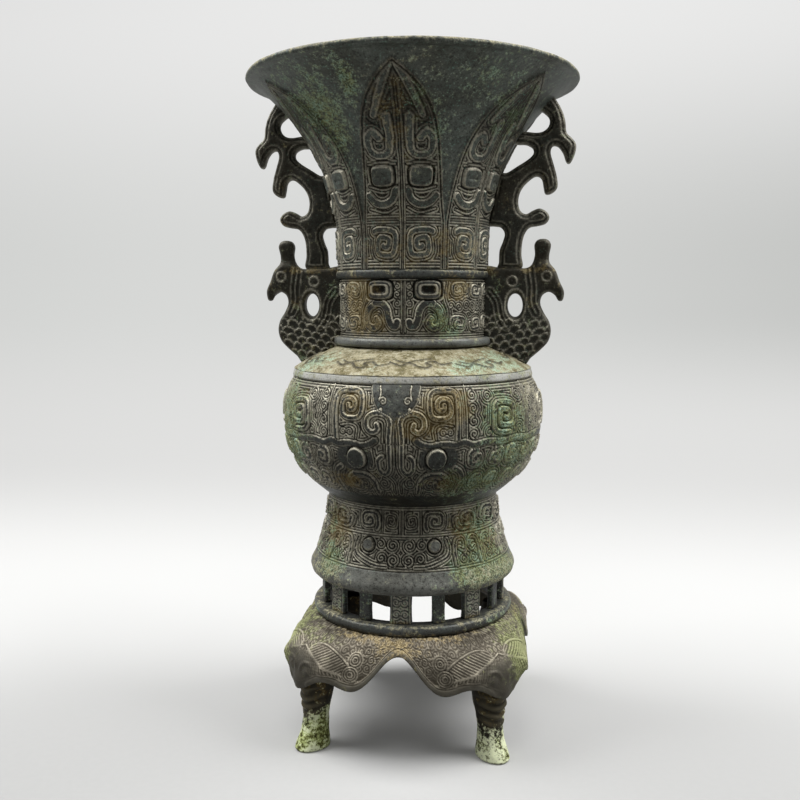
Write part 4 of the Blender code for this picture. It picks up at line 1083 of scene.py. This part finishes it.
def floor_finish():
    """Make the seamless sweep: a pale floor that throws little light back, and a pale wall.

    The eye and the bronze's gloss see the floor's own colour, with painted shade towards the front,
    and the wall's uneven glow, a painted light; other rays meet a greyer floor.
    """
    s = settings()
    f = Finish("studio_sweep")
    eye = f.seen()
    across, near, up = (f.number("ShaderNodeSeparateXYZ", {}, {0: f.place}, axis) for axis in "XYZ")
    # Painted shade: the floor's colour darkens towards the front.
    pale = f.mix(f.step(near, -0.18, 0.1), tint(s.floor, 0.62), tint(s.floor))
    pale = f.mix(f.step(f.noise(4.0, 2.0), 0.3, 0.7) * 0.05, pale, (0.50, 0.50, 0.49))
    f.feed(f.shader.inputs["Base Color"], f.mix(eye, (0.26, 0.26, 0.26), pale))
    lift = f.mix(eye, (0.0, 0.0, 0.0), (0.062, 0.062, 0.060))
    f.feed(f.shader.inputs["Emission Color"], lift)
    f.shader.inputs["Emission Strength"].default_value = 1.0
    f.shader.inputs["Roughness"].default_value = 0.6
    f.shader.inputs["Specular IOR Level"].default_value = 0.2
    # Painted light: the wall's glow is brighter at its foot, on the left and towards the top, and mixes in
    # more towards the back of the floor and up the wall.
    wall = f.mix(f.step(across, -0.8, 0.8), (0.74, 0.75, 0.735), (0.58, 0.59, 0.575))
    wall = f.mix(f.step(up, 0.0, 0.22), (0.80, 0.80, 0.79), wall)
    wall = f.mix(f.step(up, 0.3, 0.85), wall, (0.93, 0.93, 0.925))
    glow = f.node("ShaderNodeEmission", {}, {"Color": wall, "Strength": 1.0})
    share = eye * f.step(near + up, 0.2, 0.95) * 0.75
    f.blend("Material Output", share, f.shader, glow)
    return f.material


def studio_world():
    """Make the world: a faint fill for the vase, and a pale surround for the eye and for gloss."""
    f = Finish("studio", bpy.data.worlds.new("studio"))
    f.feed(f.shader.inputs["Color"], (0.95, 0.97, 1.0, 1.0))
    f.feed(f.shader.inputs["Strength"], 0.08)
    pale = f.node("ShaderNodeBackground", {}, {"Color": (0.80, 0.80, 0.79, 1.0), "Strength": 1.0})
    f.blend("World Output", f.seen(), f.shader, pale)
    return f.material


# Pieces

class VASE_OT_trumpet(Operator):
    """Build the flared mouth with its six upright leaves"""

    bl_idname = "vase.trumpet"
    bl_label = "Trumpet mouth"

    def execute(self, context):
        count = 816
        s = settings()
        finish = patina("trumpet_bronze", tint(s.bronze, 0.7), tint(s.rubbed_highlight, 1.1), speckle=0.4,
                        bared=(0.108, 0.119, 0.104))
        outer = along_profile(trumpet_radius, TRUMPET_LOW, LEAF_SPLIT_Z, 112)
        relief = panel(count, LEAVES, LEAF_R, outer[:, 1], draw_leaf)
        inner = lining(trumpet_radius, TRUMPET_LOW, LEAF_SPLIT_Z, 5)
        cast("cast_trumpet_stem", finish, "dark_bronze", "trumpet_mouth", outer, inner, count, relief)
        outer = along_profile(trumpet_radius, LEAF_SPLIT_Z, RIM_Z - LIP_TALL, 96)
        relief = panel(count, LEAVES, LEAF_R, outer[:, 1], draw_leaf)
        lip = [(MOUTH_R - 1.4, RIM_Z), (MOUTH_R - 0.5, RIM_Z - 0.3), (MOUTH_R - 0.1, RIM_Z - 1.0),
               (MOUTH_R, RIM_Z - 1.8), (MOUTH_R - 0.5, RIM_Z - 2.7),
               (MOUTH_R - 2.2, RIM_Z - LIP_TALL + 0.2)]
        # The lip's top rows take pale crust, partly a painted highlight along the rim's top edge.
        crust = np.concatenate([(0.6, 0.6, 0.5, 0.3, 0.1, 0.0), np.zeros(len(outer))])[:, None]
        outer = np.vstack([lip, outer])
        relief = plain_rows(relief, len(lip), first=True)
        inner = np.vstack([lining(trumpet_radius, LEAF_SPLIT_Z, RIM_Z - LIP_TALL, 6),
                           [(MOUTH_R - 4.5, RIM_Z - 0.6)]])
        cast("cast_trumpet_flare", finish, "dark_bronze", "trumpet_mouth", outer, inner, count, relief,
             crust=crust)
        return {"FINISHED"}


class VASE_OT_bands(Operator):
    """Build the plain rings and bands"""

    bl_idname = "vase.bands"
    bl_label = "Rings and bands"

    def execute(self, context):
        s = settings()
        finish = patina("band_bronze", tint(s.slate, 0.9), tint(s.rubbed_highlight), speckle=0.15, rough=0.4,
                        metal=0.65)
        collar = patina("collar_bronze", (0.12, 0.125, 0.118), tint(s.rubbed_highlight), speckle=0.2, rough=0.42,
                        metal=0.5, bared=(0.17, 0.175, 0.164))
        for node, look, edge, back in (("neck_ring", finish, 1.7, NECK_R - WALL),
                                       ("collar_ring", collar, 2.0, NECK_R - WALL),
                                       ("stand_ring", finish, 2.8, STAND_BACK_R)):
            radius, low, high = level(node)
            outer = rod(radius, low, high, edge)
            crust = 0.45 * smooth(low + 0.4 * (high - low), high, outer[:, 1:])
            cast("cast_" + node, look, "band_bronze", node, outer, [(back, low), (back, high)], 320,
                 uneven=0.3, crust=crust)
        pale = (0.42, 0.42, 0.385)
        worn = patina("worn_band_bronze", pale, tint(s.rubbed_highlight), speckle=0.2, rough=0.55, metal=0.2,
                      bared=pale)
        top = min(SHOULDER_R, BAND_R - 1.0)
        wide = BAND_R - top
        outer = [(top - 0.4, BAND_HIGH), (top, BAND_HIGH), (top + 0.4 * wide, BAND_HIGH - 1.0),
                 (top + 0.8 * wide, BAND_HIGH - 2.2), (BAND_R, BAND_LOW + 0.6),
                 (BAND_R - 0.1, BAND_LOW + 0.1), (BAND_R - 0.9, BAND_LOW)]
        inner = [(BAND_R - 2.0 * WALL, BAND_LOW), (BAND_R - 2.0 * WALL, BAND_HIGH)]
        cast("cast_belly_band", worn, "band_bronze", "belly_band", outer, inner, 480, uneven=0.2,
             crust=0.34)
        return {"FINISHED"}


class VASE_OT_neck(Operator):
    """Build the neck drum with its masks"""

    bl_idname = "vase.neck"
    bl_label = "Neck drum"

    def execute(self, context):
        count, rows = 760, 94
        outer = np.stack([np.full(rows, NECK_R - 0.8), np.linspace(DRUM_HIGH, DRUM_LOW, rows)], 1)
        relief = panel(count, MASKS, NECK_R, outer[:, 1], draw_neck)
        inner = [(NECK_R - WALL, DRUM_LOW), (NECK_R - WALL, DRUM_HIGH)]
        s = settings()
        finish = patina("neck_bronze", tint(s.bronze, 0.6), tint(s.rubbed_highlight, 1.05), speckle=0.14)
        cast("cast_neck_drum", finish, "dark_bronze", "neck_drum", outer, inner, count, relief)
        return {"FINISHED"}


class VASE_OT_shoulder(Operator):
    """Build the pale shoulder with its incised cloud lines"""

    bl_idname = "vase.shoulder"
    bl_label = "Shoulder"

    def execute(self, context):
        # The slope's height is a power of the way in from its rim; clouds repeat round it, some turned over
        count, rows = 640, 44
        r = np.linspace(NECK_R + 0.5, SHOULDER_R, rows)
        t = (SHOULDER_R - r) / (SHOULDER_R - NECK_R)
        z = SHOULDER_LOW + (SHOULDER_HIGH - SHOULDER_LOW) * t ** 0.85
        outer = np.stack([r, z], 1)
        angle = np.arange(count) * math.tau / count
        u, v = np.meshgrid(angle, r)
        lines = np.zeros(u.shape)
        cloud = bend((-15.0, -1.6), (-10.0, 1.2), (-5.0, -1.0), (-1.0, 2.0), (3.0, 3.2), (5.4, 1.0),
                     (3.0, -1.0), (7.0, -2.4), (11.0, 0.6), (16.0, -1.0))
        tail = bend((-12.0, -3.6), (-7.0, -1.4), (-2.0, -3.4), (2.0, -4.4), (6.0, -5.2))
        clouds = 10
        for i in range(clouds):
            middle = math.tau * (i + 0.3 + 0.12 * math.sin(3.7 * i)) / clouds
            du = ((u - middle + math.pi) % math.tau - math.pi) * v * (-1.0) ** (i // 2)
            dv = v - 57.5 - 2.5 * math.sin(2.4 * i)
            reach = np.minimum(distance(cloud, du, dv), distance(tail, du, dv) + 0.15)
            lines = np.maximum(lines, smooth(1.0, 0.45, reach))
        relief = [0.7 * lines, lines, np.zeros(u.shape)]
        inner = [(SHOULDER_R - 5.5, SHOULDER_LOW), (NECK_R + 4.0, SHOULDER_HIGH - 3.5),
                 (NECK_R - WALL, SHOULDER_HIGH - 1.0), (NECK_R - WALL, SHOULDER_HIGH)]
        cast("cast_shoulder", crust_finish(), "shoulder_crust", "shoulder", outer, inner, count, relief,
             uneven=0.35)
        return {"FINISHED"}


class VASE_OT_belly(Operator):
    """Build the belly in an upper and a lower course of relief"""

    bl_idname = "vase.belly"
    bl_label = "Belly"

    def execute(self, context):
        s = settings()
        finish = patina("belly_bronze", tint(s.bronze, 0.65), tint(s.rubbed_highlight, 1.4), speckle=0.14,
                        bared=(0.074, 0.077, 0.070))
        inside = BELLY_LOW + FLOOR_TALL + 0.1
        for name, draw, count, rows, low, high, back_low, back_rows in (
                ("cast_belly_upper", draw_belly_upper, 1300, 68, JAW_Z, BELLY_HIGH, JAW_Z, 5),
                ("cast_belly_lower", draw_belly_lower, 1140, 78, BELLY_LOW, JAW_Z, inside, 7)):
            bottom = low == BELLY_LOW
            outer = along_profile(belly_radius, low, high, rows)
            relief = panel(count, MASKS, BELLY_R, outer[:, 1], draw)
            inner = lining(belly_radius, back_low, high, back_rows)
            if bottom:
                inner = np.vstack([[(FLOOR_R, low + FLOOR_TALL)], inner])
                outer = np.vstack([outer, [(FLOOR_R, low)]])
                relief = plain_rows(relief, 1)
            # Pale crust on the belly's sides, partly painted light there; the front's underside gets
            # painted shade.
            crust = 0.34 * smooth(46.0, 66.0, from_front(count))
            cast(name, finish, "dark_bronze", "belly_bowl", outer, inner, count,
                 shade_front_underside(relief, outer[:, 1]), poles=bottom, crust=crust)
        return {"FINISHED"}


class VASE_OT_foot(Operator):
    """Build the flared foot with its masks and plain lip"""

    bl_idname = "vase.foot"
    bl_label = "Foot drum"

    def execute(self, context):
        count = 880
        outer = along_profile(foot_radius, LIP_Z, FOOT_HIGH, 100)
        relief = panel(count, MASKS, FOOT_MASK_R, outer[:, 1], draw_foot)
        under = [(LIP_R + 0.2, LIP_Z - 1.4), (LIP_R - 0.5, FOOT_LOW + 1.4), (LIP_R - 1.6, FOOT_LOW + 0.3),
                 (LIP_R - 3.0, FOOT_LOW), (FLANGE_R, FOOT_LOW)]
        outer = np.vstack([outer, under])
        relief = plain_rows(relief, len(under), height=0.5)
        relief[0][-2:] = 0.0
        # Painted shade: the ridges darken towards the front of the foot.
        relief[1] = relief[1] * (0.55 + 0.45 * smooth(14.0, 40.0, from_front(count)))
        inner = np.vstack([[(FLANGE_R, FOOT_LOW + 3.0)], lining(foot_radius, LIP_Z + 1.0, FOOT_HIGH, 5)])
        s = settings()
        finish = patina("foot_bronze", tint(s.bronze, 0.5), tint(s.rubbed_highlight, 1.15), speckle=0.1,
                        earth_gain=1.1, bared=(0.150, 0.152, 0.136))
        crust = 0.05 + 0.4 * smooth(22.0, 40.0, from_front(count))
        crust = crust * smooth(LIP_Z + 7.0, LIP_Z + 5.0, outer[:, 1:])
        cast("cast_foot", finish, "dark_bronze", "foot_drum", outer, inner, count, relief, crust=crust)
        return {"FINISHED"}


class VASE_OT_gallery(Operator):
    """Build the gallery posts, ornamented and plain in turn"""

    bl_idname = "vase.gallery"
    bl_label = "Gallery posts"

    def execute(self, context):
        s = settings()
        finish = patina("post_bronze", tint(s.slate, 0.6), tint(s.rubbed_highlight), speckle=0.2)
        # A post is a superellipse carried up its height, slightly drawn in at the middle
        count, rows = 96, 44
        turn = np.arange(count) * math.tau / count
        c, d = np.cos(turn), np.sin(turn)
        ring = (np.abs(c) ** 5 + np.abs(d) ** 5) ** -0.2
        z = np.linspace(POST_LOW, POST_HIGH, rows)
        waist = 1.0 - 0.05 * np.sin(math.pi * (z - z[0]) / (z[-1] - z[0]))
        up = z[:, None] + np.zeros(count)[None, :]
        for i in range(POSTS):
            name = f"gallery_post_{i + 1:02d}"
            broad = i % 2 == 0
            half_w = 6.0 if broad else 3.5
            x = half_w * (ring * c)[None, :] * waist[:, None]
            y = 1.75 * (ring * d)[None, :] + 0.0 * up
            height, crest = draw_post(np.abs(x), up - POST_LOW)[:2] if broad else (np.zeros(x.shape),) * 2
            front = smooth(1.2, 1.6, -y) * smooth(half_w, half_w - 1.0, np.abs(x))
            y = y - height * front + 0.25 * wobble(x + 9.0 * i, up, 11.0, i)
            angle = math.tau * i / POSTS
            points = np.stack([x * math.cos(angle) + (POST_R - y) * math.sin(angle),
                               x * math.sin(angle) - (POST_R - y) * math.cos(angle), up], -1)
            shares = {"crest": crest * front, "bare": 1.0 - 0.8 * front * broad,
                      "green": np.full(x.shape, 0.25), "earth": 0.6 * smooth(4.0, 0.0, up - POST_LOW)}
            mesh = grid_mesh(name, points, shares, poles=True)
            place("cast_post_" + name[-2:], mesh, finish, "band_bronze", name)
        return {"FINISHED"}


def skirt_edge(turn):
    """Give the height of the skirt's lower edge by degrees from a face's middle: cosine steps
    from the arch down to the lobe, up to the notch and down to the corner mask."""
    knots = ((0.0, 22.0), (20.0, 4.0), (31.0, 7.5), (45.0, 0.0))
    rise = np.zeros(turn.shape)
    for (a0, h0), (a1, h1) in zip(knots[:-1], knots[1:]):
        t = np.clip((turn - a0) / (a1 - a0), 0.0, 1.0)
        part = h0 + (h1 - h0) * (1.0 - np.cos(math.pi * t)) / 2.0
        rise = np.where((turn >= a0) & (turn <= a1), part, rise)
    return SKIRT_LOW + rise


class VASE_OT_skirt(Operator):
    """Build the arched skirt with its hatched wings and corner masks"""

    bl_idname = "vase.skirt"
    bl_label = "Stand skirt"

    def execute(self, context):
        # Each column is a quadratic curve from the seat over the shoulder to the wavy lower edge
        count, rows = 1000, 84
        seat_r, top_r = 50.0, 56.0
        angle = np.arange(count) * 360.0 / count
        middle = np.abs((angle + 45.0) % 90.0 - 45.0)
        swell = np.sin(math.pi / 2.0 * middle / 45.0) ** 1.3
        edge_z = skirt_edge(middle)
        t = np.linspace(0.0, 1.0, rows)[:, None]
        r_control, r_edge = 59.5 + 20.5 * swell, 61.5 + 14.5 * swell
        r = (1.0 - t) ** 2 * top_r + 2.0 * t * (1.0 - t) * r_control + t * t * r_edge
        z = (1.0 - t) ** 2 * SKIRT_HIGH + 2.0 * t * (1.0 - t) * (SKIRT_HIGH - 4.5) + t * t * edge_z
        run_r, run_z = np.gradient(r, axis=0), np.gradient(z, axis=0)
        length = np.hypot(run_r, run_z)
        out_r, out_z = -run_z / length, run_r / length
        left = np.cumsum(length[::-1], axis=0)[::-1]
        u = np.radians(middle)[None, :] * SKIRT_FACE_R + 0.0 * r
        height, crest, bare = draw_skirt(u, z, left)
        mask = np.exp(-((middle[None, :] - 45.0) / 9.0) ** 2)
        mask = mask * smooth(0.4, 0.75, t) * smooth(1.04, 0.92, t)
        from_corner = math.radians(45.0) * SKIRT_FACE_R - u
        ear = np.exp(-(((from_corner - 16.5) / 3.6) ** 2) - ((z - 49.5) / 4.4) ** 2)
        to_eye = np.hypot(from_corner - 6.6, z - 46.0)
        eye = np.exp(-((to_eye / 2.6) ** 2))
        lid = np.exp(-(((to_eye - 4.6) / 1.0) ** 2)) * smooth(44.0, 48.0, z)
        cheek = np.exp(-(((np.hypot(from_corner - 9.5, z - 39.0) - 2.6) / 0.9) ** 2))
        snout = np.exp(-((from_corner / 4.2) ** 2)) * smooth(47.0, 40.0, z)
        calm = np.clip(1.4 * mask, 0.0, 1.0)
        crest = crest * (1.0 - 0.8 * calm)
        bare = np.maximum(bare, 0.9 * calm)
        # Painted shade: darker on the lower part of each corner mask, under the rolled lower edge and,
        # through the rows added below, on the inner wall.
        shade = np.clip(calm * smooth(0.5, 0.75, t) + 0.6 * smooth(1.6, 0.4, left), 0.0, 1.0)
        lift = height * (1.0 - 0.6 * calm) + 1.4 * mask + 2.6 * ear + 1.0 * snout
        lift = lift + (1.2 * eye + 0.8 * lid + 0.7 * cheek) * calm + 0.3 * wobble(u, z, 11.0, 3.0)
        pick = (np.linspace(1.0, 0.0, 8) * (rows - 1)).round().astype(int)
        seat_z = np.array([[SKIRT_HIGH - 2.8], [SKIRT_HIGH]]) + np.zeros((1, count))
        all_r = np.vstack([r + lift * out_r, (r - WALL * out_r)[pick], np.full((2, count), seat_r)])
        all_z = np.vstack([z + lift * out_z, (z - WALL * out_z)[pick], seat_z])
        turn = np.radians(angle)[None, :]
        points = np.stack([all_r * np.sin(turn), -all_r * np.cos(turn), all_z], -1)
        rest = np.zeros((len(pick) + 2, count))
        shares = {
            "crest": np.vstack([crest, rest]), "bare": np.vstack([bare, rest + 1.0]),
            "shade": np.vstack([shade, rest + 0.6]),
            "green": np.vstack([patches(angle[None, :], z, GREEN_SPOTS), rest]),
            "earth": np.vstack([patches(angle[None, :], z, EARTH_SPOTS), rest + 0.2]),
        }
        mesh = grid_mesh("cast_skirt", points, shares)
        place("cast_skirt", mesh, stand_finish(), "stand_bronze", "stand_skirt")
        return {"FINISHED"}


class VASE_OT_legs(Operator):
    """Build the four legs with wrinkled folds and out-turned feet"""

    bl_idname = "vase.legs"
    bl_label = "Legs"

    def execute(self, context):
        # A leg is a ring whose radius follows the height, with wavy folds above and a toe pushed outwards
        count, rows = 96, 150
        z = np.linspace(0.0, 54.0, rows)[:, None]
        turn = (np.arange(count) * math.tau / count)[None, :]
        outwards = np.cos(turn)
        base = np.interp(z, (0.0, 1.0, 4.0, 10.0, 18.0, 24.0, 30.0, 36.0, 46.0, 54.0),
                         (7.4, 8.0, 7.9, 7.0, 6.6, 7.2, 8.3, 9.0, 8.6, 6.0))
        folds = smooth(17.0, 21.0, z) * smooth(38.0, 34.0, z) * smooth(-0.3, 0.5, outwards)
        sway = 1.6 * np.cos(2.0 * turn) + 1.5 * wobble(6.0 * np.cos(turn), z, 9.0, 2.0)
        crease = np.sin(math.tau * (z + sway) / 4.8)
        crease = crease * (0.75 + 0.5 * wobble(6.0 * np.sin(turn), z, 7.0, 5.0))
        toe = np.clip(1.0 - z / 13.0, 0.0, 1.0) ** 1.5 * np.clip(outwards, 0.0, 1.0) ** 2
        r = base + 0.7 * folds * crease + 2.8 * toe + 0.25 * wobble(8.0 * turn, z, 9.0, 4.0)
        bottom = np.sqrt(np.clip(z / 1.2, 0.0, 1.0))
        r = r - 0.9 * (1.0 - bottom)
        shares = {"crest": folds * (0.5 + 0.5 * crease), "bare": 0.0 * r,
                  "green": smooth(30.0, 8.0, z + 5.0 * np.cos(turn + 0.8))}
        finish = leg_finish()
        out = LEG_R - 0.07 * z + r * outwards * 1.08
        side = r * np.sin(turn)
        for name, degrees in (("front_right", 45.0), ("back_right", 135.0), ("back_left", 225.0),
                              ("front_left", 315.0)):
            a = math.radians(degrees)
            shares["earth"] = np.full(r.shape, 1.0 if name == "front_right" else 0.3)
            points = np.stack([out * math.sin(a) + side * math.cos(a),
                               -out * math.cos(a) + side * math.sin(a), z + 0.0 * r], -1)
            mesh = grid_mesh("cast_leg_" + name, points, shares, poles=True)
            place("cast_leg_" + name, mesh, finish, "leg_patina", "leg_" + name)
        return {"FINISHED"}


class VASE_OT_handles(Operator):
    """Build the birds and the hooked branches of both handles"""

    bl_idname = "vase.handles"
    bl_label = "Handles"

    def execute(self, context):
        s = settings()
        finish = patina("handle_bronze", (0.0075, 0.0069, 0.0047), tint(s.rubbed_highlight, 0.75), speckle=0.14,
                        earth_gain=0.8, rough=0.5, metal=0.55, bared=(0.050, 0.049, 0.040))
        sample = 0.5
        for name, outline, thick, carve in (("bird", BIRD_OUTLINE, 11.0, carve_bird),
                                            ("branch", BRANCH_OUTLINE, 10.0, carve_branch)):
            points, quads, crest = handle_block(outline, thick, sample, carve)
            x, z = points[:, 0], points[:, 2]
            shares = {"crest": crest, "bare": 0.5 - 0.5 * crest,
                      "green": 0.45 * smooth(0.2, 0.8, wobble(x, z, 26.0, 0.6)),
                      "earth": 0.5 * smooth(5.0, 0.0, np.abs(z - 258.0))
                      + 0.3 * smooth(0.0, 0.7, wobble(x, z, 19.0, 1.9))}
            for side, sign in (("right", 1.0), ("left", -1.0)):
                flat = points * [sign, sign, 1.0]
                mesh = face_mesh(f"cast_{name}_{side}", flat, quads, np.zeros((0, 3), int), shares)
                place(f"cast_{name}_{side}", mesh, finish, "handle_bronze", f"handle_{name}_{side}")
        return {"FINISHED"}


class VASE_OT_stage(Operator):
    """Build the sweep, the lights, the world and the camera"""

    bl_idname = "vase.stage"
    bl_label = "Studio"

    def execute(self, context):
        scene = context.scene
        # The sweep runs level, bows up on a quarter circle and goes on as a wall
        bow = np.linspace(0.1, math.pi / 2.0, 16)
        run = np.concatenate([np.linspace(-1.6, 0.9, 8), 0.9 + 0.5 * np.sin(bow), np.full(6, 1.4)])
        rise = np.concatenate([np.zeros(8), 0.5 - 0.5 * np.cos(bow), np.linspace(0.6, 2.4, 6)])
        half_wide = 2.5
        points = np.stack([np.tile([-half_wide, half_wide], len(run)), np.repeat(run, 2),
                           np.repeat(rise, 2)], 1)
        i = np.arange(len(run) - 1) * 2
        mesh = bpy.data.meshes.new("studio_sweep")
        mesh.from_pydata(points.tolist(), [], np.stack([i, i + 1, i + 3, i + 2], 1).tolist())
        mesh.polygons.foreach_set("use_smooth", np.ones(len(i), bool))
        sweep = bpy.data.objects.new("studio_sweep", mesh)
        mesh.materials.append(floor_finish())
        scene.collection.objects.link(sweep)
        for name, power, size, spot in (("left", 21.0, 0.8, (-0.75, -0.05, 1.15)),
                                        ("right", 21.0, 0.8, (0.75, -0.02, 1.12)),
                                        ("top", 4.5, 0.5, (0.0, -0.42, 1.25))):
            light = bpy.data.lights.new(name, "AREA")
            light.energy = power
            light.size = size
            lamp = bpy.data.objects.new(name, light)
            x, y, z = np.array(LAMP_AIM) - np.array(spot)
            lamp.location = spot
            lamp.rotation_euler = (math.acos(-z / math.hypot(x, y, z)), 0.0, math.atan2(-x, y))
            scene.collection.objects.link(lamp)
        scene.world = studio_world()
        lens = bpy.data.cameras.new("camera")
        lens.sensor_width = SENSOR
        lens.lens = FOCAL / PICTURE * SENSOR
        lens.shift_x = SHIFT / PICTURE
        camera = bpy.data.objects.new("camera", lens)
        turn = math.radians(EYE_TURN)
        camera.location = (EYE_AWAY * math.sin(turn), -EYE_AWAY * math.cos(turn), EYE_Z)
        camera.rotation_euler = (math.radians(90.0 - EYE_TILT), 0.0, turn)
        scene.collection.objects.link(camera)
        scene.camera = camera
        scene.view_settings.view_transform = "Standard"
        return {"FINISHED"}


STEPS = (VASE_OT_stage, VASE_OT_trumpet, VASE_OT_bands, VASE_OT_neck, VASE_OT_shoulder, VASE_OT_belly,
         VASE_OT_foot, VASE_OT_gallery, VASE_OT_skirt, VASE_OT_legs, VASE_OT_handles)


class VASE_PT_panel(Panel):
    """List the vase's pieces in the sidebar"""

    bl_idname = "VASE_PT_panel"
    bl_label = "Bronze Vase"
    bl_space_type = "VIEW_3D"
    bl_region_type = "UI"
    bl_category = "Vase"

    def draw(self, context):
        for key in VaseSettings.__annotations__:
            self.layout.prop(context.scene.vase_settings, key)
        for step in STEPS:
            self.layout.operator(step.bl_idname)


def register():
    """Register the settings, the operators and the panel."""
    for item in (VaseSettings, *STEPS, VASE_PT_panel):
        bpy.utils.register_class(item)
    bpy.types.Scene.vase_settings = PointerProperty(type=VaseSettings)


def unregister():
    """Remove what register added."""
    del bpy.types.Scene.vase_settings
    for item in reversed((VaseSettings, *STEPS, VASE_PT_panel)):
        bpy.utils.unregister_class(item)


def main():
    """Build the vase and its studio."""
    register()
    for step in STEPS:
        group, name = step.bl_idname.split(".")
        getattr(getattr(bpy.ops, group), name)()


if __name__ == "__main__":
    main()
